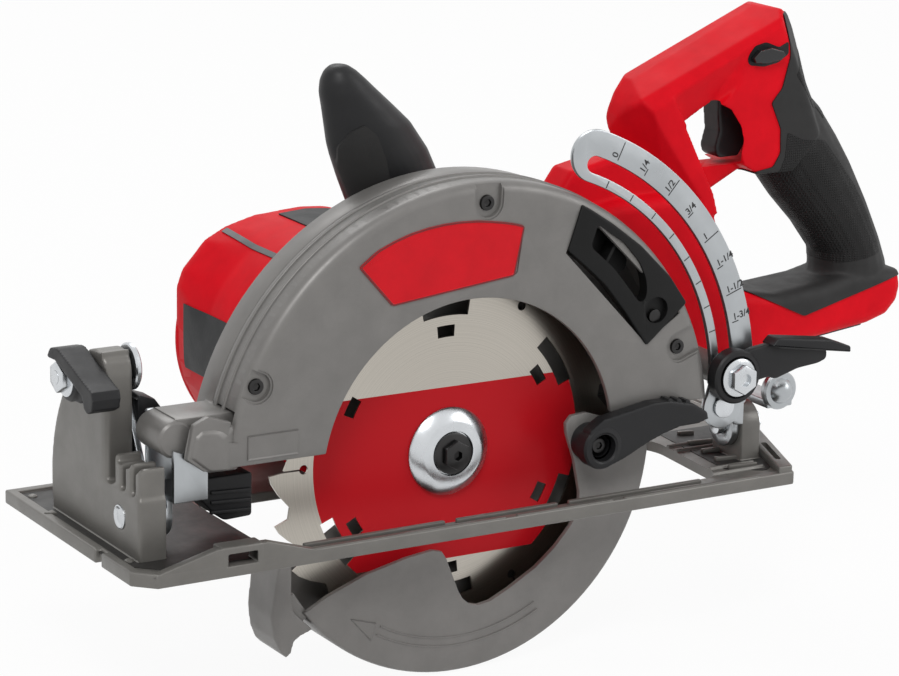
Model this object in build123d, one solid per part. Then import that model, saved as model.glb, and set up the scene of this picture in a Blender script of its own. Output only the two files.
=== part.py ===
from build123d import *
import os
from math import acos, asin, atan2, cos, degrees, hypot, pi, radians, sin, tan

# Rear handle circular saw, in millimetres.
# X points to the rear of the saw, Y from the blade to the motor, Z up.
# The origin is on the sole, below the arbor and midway across the shoe.

# Blade and arbor
blade_dia = 184.2
arbor_height = 28.6
blade_y = -30.0
blade_plate = 1.2
tooth_count = 24
tooth_h = 7.0
gullet_h = 9.0
expansion_count = 3
expansion_inset = 17.4
expansion_hole_r = 2.2
expansion_slit = 0.8
expansion_angle = 59.2
arbor_r = 7.9
arbor_fit = 0.04
flange_r = 21.0
flange_chamfer = 1.8
inner_flange_t = 3.0
outer_flange_t = 4.0
nose_recess = 0.5
blade_bolt_head_r = 8.0
blade_bolt_head_h = 5.0
blade_bolt_r = 4.0
blade_bolt_len = 20.0
blade_socket_r = 3.0
blade_socket_depth = 4.0

# Each corner of a tooth: its share of the pitch behind the tip, and its drop below the tip
tooth_profile = [
    (-0.27, gullet_h), (-0.04, tooth_h), (0.0, 0.0), (0.17, 0.17 * tooth_h), (0.4, 0.6 * tooth_h),
]

# Gears, bearings and motor
gear_module = 1.0
gear_teeth = 48
pinion_teeth = 12
pressure_angle = 20.0
pinion_shift = 0.3
gear_backlash = 0.15
gear_y0 = -6.0
gear_w = 10.0
gear_room = 1.4
pinion_room = 2.2
gear_wall_gap = 2.0
pinion_overlap = 1.0
motor_direction = 123.0
spindle_r = 7.5
spindle_end_r = 4.0
shoulder_gap = 0.2
shaft_gap = 2.0
spindle_bearing_r = 16.0
spindle_bearing_w = 9.0
small_bearing_r = 9.5
small_bearing_w = 6.0
collar_w = 5.5
lock_notches = 12
lock_collar_r = 13.0
lock_notch_w = 4.8
lock_notch_depth = 4.0
lock_pin_r = 2.0
lock_direction = 15.0
lock_boss_wall = 3.0
lock_boss_len = 4.0
lock_button_r = 5.0
lock_button_len = 7.0
lock_travel = 4.5
lock_gap = 1.0
lock_end_gap = 0.5
rotor_shaft_r = 3.0
rotor_r = 20.4
air_gap = 0.6
stator_r = 34.0
stator_slots = 6
stator_slot_w = 4.4
stator_tooth = 3.0
stator_yoke = 4.0
core_y0 = 30.0
core_len = 36.0
fan_gap = 3.0
fan_r = 32.0
fan_w = 8.0
fan_plate = 2.0
fan_hub_r = 8.0
fan_blades = 9
fan_vane_t = 1.6
fan_vane_inset = 0.5

# Housings
guard_center_x = 3.5
guard_center_dz = 1.0
guard_over = 35.9
guard_wall = 3.0
guard_rim_t = 3.5
guard_near_y = -52.0
guard_split_y = -28.0
guard_back_y = -14.0
guard_bottom_z = 42.6
window_inset = 15.75
guard_boss_r = 23.6
guard_foot_r = 27.8
guard_foot_x0 = -70.0
guard_foot_x1 = 100.0
guard_foot_h = 6.0
guard_screw_inset = 8.5
guard_screw_angles = (156.0, 87.0, 20.0)
guard_screw_boss_r = 5.0
screw_r = 1.7
screw_head_r = 3.5
screw_head_h = 3.0
screw_socket_r = 1.8
screw_socket_depth = 1.5
screw_recess = 1.0
screw_tip_wall = 1.0
gear_case_y1 = 16.0
gear_case_rear = 62.0
gear_case_low = 24.0
case_inset = 4.0
drum_x = -22.0
drum_z = 62.6
drum_r = 57.0
drum_bottom_z = 10.0
drum_wall = 3.0
drum_rib_t = 2.4
drum_y1 = 88.0
end_cap_t = 5.0
end_cap_round = 3.0
end_clearance = 3.0
vent_rows = 7
vent_pitch = 10.0
vent_h = 3.5
vent_half = 26.0
chute_t = 5.0
chute_rim = 2.0
chute_head_r = 3.2
chute_head_h = 1.8
badge_t = 0.8
badge_round = 2.0

# Lower guard
low_guard_over = 10.2
low_guard_t = 2.2
low_guard_near = 15.3
low_guard_far = 11.5
low_guard_front = -149.0
low_guard_rear = 8.0
low_guard_lap = 20.1
crescent_start = -84.0
crescent_end = -30.0
arm_overhang = 4.0
toe_h = 8.7
toe_span = 8.0
toe_gap = 3.5
hub_r = 30.0
hub_w = 6.0
hub_fit = 0.2
lever_boss_inset = 35.8
lever_boss_r = 7.8
lever_y0 = -59.0
lever_gap = 0.5
lever_round = 2.0
lever_recess_r = 4.6
lever_recess = 3.0
spring_wire_r = 0.9
spring_len = 4.5

# Shoe and bevel
shoe_lip = 10.4
shoe_tail_near = 10.2
shoe_tail_far = 47.0
shoe_slant_y = 21.0
shoe_half_w = 71.3
shoe_t = 5.0
shoe_rim_h = 6.5
shoe_rim_w = 5.0
shoe_corner = 9.0
shoe_sink = 4.5
open_front_gap = 2.7
open_rear_gap = 22.7
open_y0 = -60.0
open_y1 = 18.5
open_round = 8.0
tray_ribs = 7
tray_rib_w = 2.0
tray_gap = 5.0
tray_len = 32.0
tray_y0 = -8.0
tray_pitch = 8.0
fence_gap = 12.0
fence_w = 14.5
fence_h = 5.6
fence_wall = 3.0
fence_boss_w = 9.3
bevel_y = -30.0
bevel_z = 20.6
bevel_range = 50.0
upright_gap = 6.5
upright_t = 13.5
upright_r = 72.0
upright_near_y = -13.0
block_near_y = -48.5
block_top_z = 33.0
fin_count = 3
fin_pitch = 9.5
fin_t = 5.0
fin_inset = 1.0
fin_top_z = 44.0
sight_w = 6.0
sight_depth = 3.0
bevel_pin_r = 5.0
bevel_pin_head_r = 8.0
bevel_pin_head_t = 3.0
bevel_pin_end = 1.0
bevel_boss_r = 8.0
bevel_slot_r = 66.0
bevel_clamp_angle = 58.0
bevel_bolt_r = 3.0
bevel_bolt_head_r = 6.5
bevel_bolt_head_t = 3.7
bevel_slot_play = 0.5
quadrant_t = 3.0
quadrant_gap = 1.0
quadrant_band = 14.0
quadrant_eye = 4.0
quadrant_margin = 8.0
quadrant_web_low = 6.0
quadrant_web_high = 4.0
slot_margin = 1.0
stop_block_w = 13.0
stop_block_gap = 1.0
stop_foot_t = 4.0
stop_foot_top = 67.0
rear_lug_gap = 15.0
rear_lug_t = 11.0
rear_lug_r = 12.0
rear_pin_r = 4.0
rear_pin_reach = 8.0
rear_nut_r = 6.0
rear_nut_h = 5.0

# Depth linkage
hinge_gap = 17.0
hinge_z = 56.6
hinge_pin_r = 4.0
hinge_pin_end = 0.4
hinge_barrel_r = 8.5
hinge_root_len = 30.0
hinge_root_half = 9.0
hinge_ear_t = 3.0
hinge_ear_r = 8.0
hinge_ear_step = 12.0
hinge_near_y = -48.0
hinge_far_y = -18.7
hinge_base_z = 28.6
hinge_foot = 14.0
hinge_flange = 3.0
link_offset = 1.0
link_z = 35.6
link_pin_r = 3.0
link_pin_end = 1.0
link_head_rim = 2.5
link_head_t = 1.2
link_ear_t = 3.0
link_ear_r = 8.0
link_plate_t = 4.0
link_plate_half = 10.0
link_foot_z = 24.0
link_top = 6.0
clamp_gap = 16.0
clamp_z = 52.0
clamp_bolt_r = 3.0
clamp_bolt_blind = 4.0
clamp_boss_r = 7.0
clamp_lug_t = 10.0
clamp_slot_play = 0.9
depth_ratio = 0.825
bracket_y0 = -46.5
bracket_t = 3.0
bracket_in = 8.5
bracket_out = 16.0
bracket_foot = 13.0
bracket_eye_r = 11.0
bracket_margin = 2.0
washer_r = 10.0
washer_t = 1.4

# Levers
depth_lever_hub_r = 13.0
depth_lever_t = 8.0
depth_lever_round = 1.2
nut_r = 6.5
nut_h = 5.0
nut_sink = 3.0
bevel_lever_t = 9.0
bevel_lever_hub_r = 9.0

# Handles
handle_y0 = -10.0
handle_w = 38.0
handle_wall = 3.2
handle_corner = 9.0
handle_edge = 8.0
hole_edge = 3.0
hand_hole_round = 6.0
finger_hole_round = 4.0
handle_screw_r = 1.7
handle_screw_head_r = 3.4
handle_screw_head_h = 3.0
handle_screw_sink = 1.0
handle_screw_len = 28.0
handle_boss_r = 4.6
pad_t = 1.5
pad_inset = 7.0
pad_screw_rim = 1.0
trigger_w = 14.0
trigger_gap = 0.5
trigger_round = 1.5
trigger_pivot_x = 184.0
trigger_pivot_z = 172.0
trigger_pin_r = 2.0
trigger_eye = 2.0
trigger_pin_wall = 1.0
lock_off_x0 = 176.0
lock_off_x1 = 196.0
lock_off_z0 = 193.5
lock_off_z1 = 200.5
lock_off_gap = 0.3
lock_off_out = 4.0
lock_off_in = 10.0
foot_x0 = 193.0
foot_z0 = 46.5
foot_x1 = 258.0
foot_z1 = 54.0
seat_x0 = 208.0
seat_x1 = 255.0
seat_h = 13.0
seat_lean = 1.5
rail_half = 12.0
neck_half = 9.0
terminal_count = 5
terminal_pitch = 3.0
terminal_t = 0.8
switch_x0 = 196.0
switch_len = 18.0
switch_z0 = 156.0
switch_h = 16.0
control_x0 = 86.0
control_z0 = 72.0
control_side = 40.0
control_t = 14.0
front_handle_y0 = -8.0
front_handle_w = 32.0
front_handle_corner = 8.0
front_handle_edge = 5.0
hook_gap = 20.0
hook_y = 19.0
hook_z = 25.0
hook_t = 4.0
hook_w = 15.0
hook_reach = 49.0
hook_tip_r = 8.5
hook_pin_r = 3.5
hook_head_rim = 2.5
hook_head_t = 2.0
hook_head_gap = 0.5
hook_boss_rim = 3.0
hook_boss_len = 26.0

# General fits
run_gap = 0.3
pin_fit = 0.05
hole_fit = 0.1
bearing_fit = 0.03
overlap = 1.0

# Values worked out from the sizes above
blade_r = blade_dia / 2
cut_depth = blade_r - arbor_height
arbor_z = arbor_height
handle_y1 = handle_y0 + handle_w
handle_mid = handle_y0 + handle_w / 2
inside_y0 = handle_y0 + handle_wall
inside_y1 = handle_y1 - handle_wall
gear_pitch_r = gear_module * gear_teeth / 2
pinion_pitch_r = gear_module * pinion_teeth / 2
gear_distance = gear_pitch_r + pinion_pitch_r
motor_x = gear_distance * cos(radians(motor_direction))
motor_z = arbor_z + gear_distance * sin(radians(motor_direction))
guard_z = arbor_z + guard_center_dz
guard_r = blade_r + guard_over
guard_window_r = blade_r - window_inset
guard_screw_r = guard_r - guard_screw_inset
low_guard_r = blade_r + low_guard_over
low_guard_inner_r = blade_r - low_guard_lap
toe_r = low_guard_r + toe_h
lever_boss_x = low_guard_r - lever_boss_inset
blade_near = blade_y - blade_plate / 2
blade_far = blade_y + blade_plate / 2
low_near_y = blade_y - low_guard_near
low_far_y = blade_y + low_guard_far
guard_inner_y = guard_near_y + guard_wall
guard_inner_r = guard_r - guard_rim_t
guard_clear_r = toe_r + toe_gap
guard_web_y = guard_back_y - guard_wall
bearing_y0 = guard_web_y - spindle_bearing_w
gear_y1 = gear_y0 + gear_w
gear_wall_y = gear_y1 + gear_wall_gap
rotor_end_y = drum_y1 - end_clearance
hinge_x = -guard_r - hinge_gap
clamp_x = guard_r + clamp_gap
link_x = clamp_x - link_offset
upright_x1 = hinge_x - upright_gap
upright_x0 = upright_x1 - upright_t
rear_lug_x0 = link_x + rear_lug_gap
rear_lug_x1 = rear_lug_x0 + rear_lug_t
shoe_front = upright_x0 - shoe_lip
shoe_rear_near = rear_lug_x0 + shoe_tail_near
shoe_rear_far = rear_lug_x0 + shoe_tail_far
open_x0 = -low_guard_r - open_front_gap
open_x1 = low_guard_r + open_rear_gap
tray_x0 = open_x1 + tray_gap
tray_x1 = tray_x0 + tray_len
fence_x0 = hinge_x + fence_gap
hook_x = rear_lug_x1 + hook_gap
quadrant_x0 = upright_x1 + quadrant_gap
quadrant_x1 = quadrant_x0 + quadrant_t
clamp_y = bevel_y + bevel_slot_r * cos(radians(bevel_clamp_angle))
clamp_bolt_z = bevel_z + bevel_slot_r * sin(radians(bevel_clamp_angle))
bracket_y1 = bracket_y0 + bracket_t
washer_y0 = bracket_y0 - run_gap - washer_t
depth_lever_y1 = washer_y0 - run_gap
depth_lever_y0 = depth_lever_y1 - depth_lever_t
lever_screw_y = lever_y0 + lever_recess
hinge_to_arbor = hypot(hinge_x, hinge_z - arbor_z)
depth_range = degrees(
    asin((arbor_z + cut_depth - hinge_z) / hinge_to_arbor) - asin((arbor_z - hinge_z) / hinge_to_arbor)
)

# Outlines on the upper guard, as shares of its radius from its centre
chute_outline = [(0.418, 0.8625), (0.8477, 0.4406), (0.6992, 0.3469), (0.3477, 0.7141)]
chute_mouth = [
    (0.4414, 0.7844), (0.7227, 0.5109), (0.6836, 0.4484), (0.6289, 0.4953), (0.5742, 0.4719),
    (0.4023, 0.6516),
]
chute_screw = (0.7383, 0.4406)
badge_outline = [
    (-0.4883, 0.7531), (-0.2617, 0.8234), (-0.0117, 0.8625), (0.168, 0.8313), (0.1445, 0.6594),
    (-0.1055, 0.6516), (-0.3477, 0.6047),
]

# Outlines on the lower guard, as shares of its radius from the arbor
low_front_outline = [
    (-0.8407, -0.5279), (-0.2053, -0.3812), (-0.1271, -0.3812), (-0.0782, -0.4301), (0.0, -0.6452),
    (0.0782, -0.6843), (0.0782, -1.0753), (-1.0753, -1.0753), (-1.0753, -0.6061),
]
low_arm_outline = [
    (0.5279, -0.4888), (0.5181, -0.0782), (0.5767, 0.088), (0.6452, 0.1173), (0.7331, 0.088),
    (0.9873, 0.0489), (1.0068, -0.1955), (0.8798, -0.4888),
]

# Outlines from a pivot or an edge: the nose from the hinge and the sole, the lug and the depth lever from
# the clamp bolt, the guard lever from its boss, the stop block from the quadrant and the sole
nose_outline = [(2, 49), (5, 64), (12, 67), (27, 62), (45, 60), (45, guard_bottom_z), (10, guard_bottom_z)]
lug_outline = [(-34, -6), (0, -clamp_boss_r), (0, clamp_boss_r), (-44, 34)]
depth_lever_outline = [
    (4, 11), (18, 13.6), (21, 16.5), (54, 12), (65, 8), (65, 5), (53, 6), (52, 2), (36, -0.5),
    (22, -4), (4, -2),
]
guard_lever_outline = [
    (-4.5, -3.6), (3.5, -7.6), (11.5, -6), (25.5, -0.6), (33.5, 2.4), (42.5, 4.4), (53.5, 5), (54.5, 10.4),
    (50.5, 14.7), (37.5, 17.7), (27.5, 18), (-4.5, 7.4),
]
stop_block_outline = [(0, 49), (6.5, 49), (11.5, 56), (11.5, 62), (8.5, 66), (0, 69)]
stop_block_round = 1.5

# Side view outlines of the handles, as x and z
finger_hole_outline = [(147, 164), (155, 141), (187, 149.5), (191, 160), (181, 176), (160, 174)]
hand_hole_outline = [
    (157, 131), (186, 141.5), (208, 122), (234, 93), (230, 79), (200, 76), (177, 81), (165, 108),
]
handle_outline = [
    (gear_case_rear, 58), (gear_case_rear, drum_z + drum_r - case_inset), (84, 144), (104, 160), (104, 176),
    (114, 190), (181, 218), (196, 218), (207, 206), (206, 193), (230, 165.5), (251, 134.5), (278.5, 74),
    (276, 62.5), (foot_x1, foot_z1), (foot_x0, foot_z0), (130, 48),
]
handle_screw_points = [(74, 72), (74, 104), (128, 178), (188, 207), (243, 107), (264, 78), (140, 60)]
grip_outline = [
    (204, 194), (232, 172), (285, 74), (250, 70), (236, 84), (209, 124), (186, 141), (186, 152), (194, 156),
]
battery_neck_outline = [(200, 46), (262, 53), (261, 61.5), (199, 54.5)]
battery_rail_outline = [(199.6, 50.6), (261.6, 57.6), (261, 61.5), (199, 54.5)]
terminal_outline = [(228, 53), (244, 54.9), (242.6, 64), (226.6, 62.1)]
trigger_outline = [(183, 174), (167, 169), (163, 158), (165, 148), (172, 145), (183, 152), (187, 166)]
trigger_slot = (158.0, 143.0, 192.0, 178.0)
front_handle_outline = [
    (-30, 112), (-34, 140), (-46, 168), (-49, 194), (-40, 204), (-27, 203), (2, 178), (13, 158), (17, 112),
]

# Bevel lever outline, as y and z from the clamp bolt
bevel_lever_outline = [(8, 5), (-14, 14), (-24, 13), (-51, 4), (-50, -3), (-43, -5), (-6, -8)]


def prism_x(face, x0, x1):
    plane = Plane(origin=(x0, 0, 0), x_dir=(0, 1, 0), z_dir=(1, 0, 0))
    return extrude(plane * face, x1 - x0, dir=(1, 0, 0))


def prism_y(face, y0, y1):
    plane = Plane(origin=(0, y0, 0), x_dir=(1, 0, 0), z_dir=(0, -1, 0))
    return extrude(plane * face, y1 - y0, dir=(0, 1, 0))


def prism_z(face, z0, z1):
    return extrude(Pos(0, 0, z0) * face, z1 - z0, dir=(0, 0, 1))


def disc(u, v, r):
    return Pos(u, v) * Circle(r)


def rect(u0, v0, u1, v1):
    return Pos((u0 + u1) / 2, (v0 + v1) / 2) * Rectangle(u1 - u0, v1 - v0)


def poly(points):
    return make_face(Polyline(*points, close=True))


def rounded(points, r):
    face = poly(points)
    return fillet(face.vertices(), r)


def block(x0, x1, y0, y1, z0, z1):
    return prism_z(rect(x0, y0, x1, y1), z0, z1)


def cyl_x(y, z, r, x0, x1):
    return prism_x(disc(y, z, r), x0, x1)


def cyl_y(x, z, r, y0, y1):
    return prism_y(disc(x, z, r), y0, y1)


def cyl_z(x, y, r, z0, z1):
    return prism_z(disc(x, y, r), z0, z1)


def tube_y(x, z, r_in, r_out, y0, y1):
    return prism_y(disc(x, z, r_out) - disc(x, z, r_in), y0, y1)


def polar(r, angle, u=0.0, v=0.0):
    return (u + r * cos(radians(angle)), v + r * sin(radians(angle)))


def fan_face(r, a0, a1):
    # A many-sided wedge that reaches past the circle of radius r.
    steps = int((a1 - a0) // 30) + 2
    rim = [polar(1.6 * r, a0 + (a1 - a0) * i / (steps - 1)) for i in range(steps)]
    return poly([(0, 0)] + rim)


def sector(r, a0, a1):
    return Circle(r) & fan_face(r, a0, a1)


def ring_sector(r_in, r_out, a0, a1):
    return sector(r_out, a0, a1) - Circle(r_in)


def slot_arc(u, v, r, a0, a1, half):
    band = Pos(u, v) * ring_sector(r - half, r + half, a0, a1)
    for a in (a0, a1):
        band += disc(*polar(r, a, u, v), half)
    return band


def shifted(points, u, v):
    return [(u + a, v + b) for a, b in points]


def on_guard(points):
    return [(guard_center_x + guard_r * a, guard_z + guard_r * b) for a, b in points]


def on_low_guard(points):
    return [(low_guard_r * a, low_guard_r * b) for a, b in points]


def hexagon(u, v, r):
    return Pos(u, v) * RegularPolygon(r, 6)


def socket_screw(x, z, head_y, tip_y):
    seat = head_y + screw_head_h
    head = cyl_y(x, z, screw_head_r, head_y, seat)
    head -= prism_y(hexagon(x, z, screw_socket_r), head_y, head_y + screw_socket_depth)
    return head + cyl_y(x, z, screw_r, seat, tip_y)


# Blade group, turning about the arbor


def saw_blade():
    pitch = 360 / tooth_count
    hole_r = blade_r - expansion_inset
    points = []
    for i in range(tooth_count):
        points += [polar(blade_r - drop, (i + share) * pitch) for share, drop in tooth_profile]
    face = poly(points) - Circle(arbor_r + arbor_fit)
    for k in range(expansion_count):
        hole = disc(hole_r, 0, expansion_hole_r)
        slit = rect(hole_r, -expansion_slit / 2, blade_r + overlap, expansion_slit / 2)
        face -= Rot(0, 0, expansion_angle + 360 * k / expansion_count) * (hole + slit)
    return prism_y(Pos(0, arbor_z) * face, blade_near, blade_far)


def spindle():
    nose_y0 = blade_near - outer_flange_t + nose_recess
    shoulder = bearing_y0 - shoulder_gap
    body = cyl_y(0, arbor_z, arbor_r, nose_y0, shoulder)
    body += cyl_y(0, arbor_z, spindle_r, shoulder, gear_y1)
    body += cyl_y(0, arbor_z, spindle_end_r, gear_y1, gear_wall_y + small_bearing_w)
    star = Circle(lock_collar_r)
    half = lock_notch_w / 2
    notch = rect(lock_collar_r - lock_notch_depth, -half, lock_collar_r + overlap, half)
    for k in range(lock_notches):
        star -= Rot(0, 0, lock_direction + 360 * k / lock_notches) * notch
    body += prism_y(Pos(0, arbor_z) * star, gear_y0 - collar_w, gear_y0)
    bolt_end = blade_near - outer_flange_t + blade_bolt_len
    return body - cyl_y(0, arbor_z, blade_bolt_r, nose_y0, bolt_end)


def inner_flange():
    return tube_y(0, arbor_z, arbor_r, flange_r, blade_far, blade_far + inner_flange_t)


def outer_flange():
    front_y = blade_near - outer_flange_t
    plate = cyl_y(0, arbor_z, flange_r, front_y, blade_near)
    plate = chamfer(plate.faces().sort_by(Axis.Y)[0].edges(), flange_chamfer)
    plate -= cyl_y(0, arbor_z, arbor_r, front_y + nose_recess, blade_near)
    return plate - cyl_y(0, arbor_z, blade_bolt_r, front_y, blade_near)


def blade_bolt():
    seat = blade_near - outer_flange_t
    top = seat - blade_bolt_head_h
    head = prism_y(hexagon(0, arbor_z, blade_bolt_head_r), top, seat)
    socket = prism_y(hexagon(0, arbor_z, blade_socket_r), top, top + blade_socket_depth)
    return head - socket + cyl_y(0, arbor_z, blade_bolt_r, seat, seat + blade_bolt_len)


def gear_face(teeth, shift):
    pitch_r = gear_module * teeth / 2
    alpha = radians(pressure_angle)
    base_r = pitch_r * cos(alpha)
    tip_r = pitch_r + gear_module * (1 + shift)
    root_r = pitch_r - gear_module * (1.25 - shift)
    half = (pi / 2 + 2 * shift * tan(alpha)) / teeth - gear_backlash / (4 * pitch_r)
    start_r = max(base_r, root_r)
    radii = [start_r + (tip_r - start_r) * i / 4 for i in range(5)]
    flank = []
    for r in radii:
        a = acos(min(1.0, base_r / r))
        flank.append((r, half + tan(alpha) - alpha - (tan(a) - a)))
    if root_r < base_r:
        flank.insert(0, (root_r, flank[0][1]))
    points = []
    for i in range(teeth):
        mid = 2 * pi * i / teeth
        points += [(r * cos(mid - a), r * sin(mid - a)) for r, a in flank]
        points += [(r * cos(mid + a), r * sin(mid + a)) for r, a in reversed(flank)]
    return poly(points)


def drive_gear():
    face = Rot(0, 0, motor_direction + 180 / gear_teeth) * gear_face(gear_teeth, -pinion_shift)
    face -= Circle(spindle_r)
    return prism_y(Pos(0, arbor_z) * face, gear_y0, gear_y1)


# Rotor, geared to the blade


def motor_pinion():
    face = Rot(0, 0, motor_direction + 180) * gear_face(pinion_teeth, pinion_shift)
    face -= Circle(rotor_shaft_r)
    return prism_y(Pos(motor_x, motor_z) * face, gear_y0 - pinion_overlap, gear_y1 + pinion_overlap)


def rotor_shaft():
    return cyl_y(motor_x, motor_z, rotor_shaft_r, gear_y0 - 2 * pinion_overlap, rotor_end_y)


def rotor_core():
    return tube_y(motor_x, motor_z, rotor_shaft_r, rotor_r, core_y0, core_y0 + core_len)


def cooling_fan():
    y0 = gear_case_y1 + fan_gap
    face = Circle(fan_hub_r)
    for k in range(fan_blades):
        vane = rect(0, -fan_vane_t / 2, fan_r - fan_vane_inset, fan_vane_t / 2)
        face += Rot(0, 0, 360 * k / fan_blades) * vane
    center = Pos(motor_x, motor_z)
    fan = prism_y(center * (Circle(fan_r) - Circle(rotor_shaft_r)), y0, y0 + fan_plate)
    return fan + prism_y(center * (face - Circle(rotor_shaft_r)), y0 + fan_plate, y0 + fan_w)


# Fixed pieces of the drive


def stator():
    ring = Circle(stator_r) - Circle(rotor_r + air_gap)
    slot = rect(rotor_r + stator_tooth, -stator_slot_w / 2, stator_r - stator_yoke, stator_slot_w / 2)
    for k in range(stator_slots):
        ring -= Rot(0, 0, 360 * k / stator_slots) * slot
    return prism_y(Pos(motor_x, motor_z) * ring, core_y0, core_y0 + core_len)


def spindle_bearing_front():
    return tube_y(0, arbor_z, spindle_r + bearing_fit, spindle_bearing_r, bearing_y0, guard_web_y)


def spindle_bearing_rear():
    bore = spindle_end_r + bearing_fit
    return tube_y(0, arbor_z, bore, small_bearing_r, gear_wall_y, gear_wall_y + small_bearing_w)


def rotor_bearing(y1):
    bore = rotor_shaft_r + bearing_fit
    return tube_y(motor_x, motor_z, bore, small_bearing_r, y1 - small_bearing_w, y1)


def rotor_bearing_front():
    return rotor_bearing(gear_case_y1)


def rotor_bearing_rear():
    return rotor_bearing(rotor_end_y)


def drum_face(r, bottom):
    return disc(drum_x, drum_z, r) - rect(drum_x - 2 * r, drum_z - 2 * r, drum_x + 2 * r, bottom)


def motor_housing():
    outer = drum_face(drum_r, drum_bottom_z)
    inner = drum_face(drum_r - drum_wall, drum_bottom_z + drum_wall)
    housing = prism_y(outer - inner, gear_case_y1, drum_y1)
    half = drum_rib_t / 2
    ribs = rect(drum_x - drum_r, motor_z - half, drum_x + drum_r, motor_z + half)
    ribs += rect(motor_x - half, drum_bottom_z, motor_x + half, drum_z + drum_r)
    ribs = (ribs & outer) + disc(motor_x, motor_z, stator_r + drum_wall) - disc(motor_x, motor_z, stator_r)
    return housing + prism_y(ribs, core_y0, core_y0 + core_len)


def motor_end_cap():
    boss_r = small_bearing_r + drum_wall
    y0 = rotor_end_y - small_bearing_w
    plate = prism_y(drum_face(drum_r, drum_bottom_z), drum_y1, drum_y1 + end_cap_t)
    cap = fillet(plate.faces().sort_by(Axis.Y)[-1].edges(), end_cap_round)
    for k in range(vent_rows):
        z = drum_z + vent_pitch * (k - (vent_rows - 1) / 2)
        vent = rect(drum_x - vent_half, z - vent_h / 2, drum_x + vent_half, z + vent_h / 2)
        vent -= disc(motor_x, motor_z, boss_r + vent_h)
        cap -= prism_y(vent, drum_y1, drum_y1 + end_cap_t)
    cap += cyl_y(motor_x, motor_z, boss_r, y0, drum_y1)
    return cap - cyl_y(motor_x, motor_z, small_bearing_r, y0, drum_y1)


# Castings round the blade


def guard_disc(r):
    return disc(guard_center_x, guard_z, r) - rect(-2 * r, guard_z - 2 * r, 2 * r, guard_bottom_z)


def guard_screw_points():
    return [polar(guard_screw_r, a, 0, arbor_z) for a in guard_screw_angles]


def hinge_barrel():
    y0 = hinge_near_y + hinge_ear_t + run_gap
    y1 = hinge_far_y - hinge_ear_t - run_gap
    root_x = hinge_x + hinge_root_len
    face = disc(hinge_x, hinge_z, hinge_barrel_r)
    face += rect(hinge_x, hinge_z - hinge_root_half, root_x, hinge_z + hinge_root_half)
    face -= disc(0, arbor_z, guard_clear_r)
    face &= rect(hinge_x - hinge_barrel_r, guard_bottom_z, root_x, hinge_z + hinge_root_half)
    return prism_y(face - disc(hinge_x, hinge_z, hinge_pin_r + pin_fit), y0, y1)


def upper_guard_body():
    solid = prism_y(guard_disc(guard_r), guard_split_y, guard_back_y)
    solid -= prism_y(guard_disc(guard_inner_r), guard_split_y, guard_web_y)
    foot = disc(0, arbor_z, guard_foot_r)
    foot += rect(guard_foot_x0, guard_bottom_z - guard_foot_h, guard_foot_x1, guard_bottom_z + overlap)
    solid += prism_y(foot, guard_web_y, guard_back_y)
    solid += cyl_y(0, arbor_z, guard_boss_r, bearing_y0, guard_web_y)
    for x, z in guard_screw_points():
        solid += cyl_y(x, z, guard_screw_boss_r, guard_split_y, guard_web_y)
        solid -= cyl_y(x, z, screw_r, guard_split_y, guard_back_y - screw_tip_wall)
    solid += hinge_barrel()
    lug = poly(shifted(lug_outline, clamp_x, clamp_z)) + disc(clamp_x, clamp_z, clamp_boss_r)
    lug -= disc(guard_center_x, guard_z, guard_r - overlap)
    solid += prism_y(lug, guard_back_y - clamp_lug_t, guard_back_y)
    solid += cyl_y(clamp_x, clamp_z, clamp_boss_r, bracket_y1 + run_gap, guard_back_y)
    solid -= cyl_y(clamp_x, clamp_z, clamp_bolt_r, bracket_y1, guard_back_y - clamp_bolt_blind)
    solid -= cyl_y(0, arbor_z, spindle_bearing_r, bearing_y0, guard_web_y)
    return solid - cyl_y(0, arbor_z, spindle_r + shaft_gap, guard_web_y, guard_back_y)


def chute_face():
    return poly(on_guard(chute_outline)) & disc(guard_center_x, guard_z, guard_inner_r - chute_rim)


def badge_face():
    return rounded(on_guard(badge_outline), badge_round)


def upper_guard_cover():
    solid = prism_y(guard_disc(guard_r), guard_near_y, guard_split_y)
    solid -= prism_y(guard_disc(guard_inner_r), guard_inner_y, guard_split_y)
    solid -= cyl_y(0, arbor_z, guard_window_r, guard_near_y, guard_inner_y)
    nose_y1 = hinge_near_y - hinge_pin_end - run_gap
    seat_y = guard_near_y + screw_recess + screw_head_h
    hinge_room = (hinge_x - hinge_root_len, hinge_x + hinge_root_len + guard_wall)
    hinge_top = hinge_z + hinge_root_half + overlap
    solid -= block(*hinge_room, nose_y1, guard_split_y, guard_bottom_z - overlap, hinge_top)
    nose = poly(shifted(nose_outline, hinge_x, 0)) - disc(0, arbor_z, guard_clear_r)
    solid += prism_y(nose, guard_near_y, nose_y1)
    for x, z in guard_screw_points():
        solid += cyl_y(x, z, guard_screw_boss_r, guard_inner_y, guard_split_y)
        solid -= cyl_y(x, z, screw_r + hole_fit, guard_near_y, guard_split_y)
        solid -= cyl_y(x, z, screw_head_r + hole_fit, guard_near_y, seat_y)
    solid -= prism_y(chute_face(), guard_near_y, guard_inner_y)
    return solid - prism_y(badge_face(), guard_near_y, guard_near_y + badge_t)


def guard_screws():
    head_y = guard_near_y + screw_recess
    group = [socket_screw(x, z, head_y, guard_web_y) for x, z in guard_screw_points()]
    return Compound(children=group)


def badge_plate():
    return prism_y(badge_face(), guard_near_y, guard_near_y + badge_t)


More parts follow.
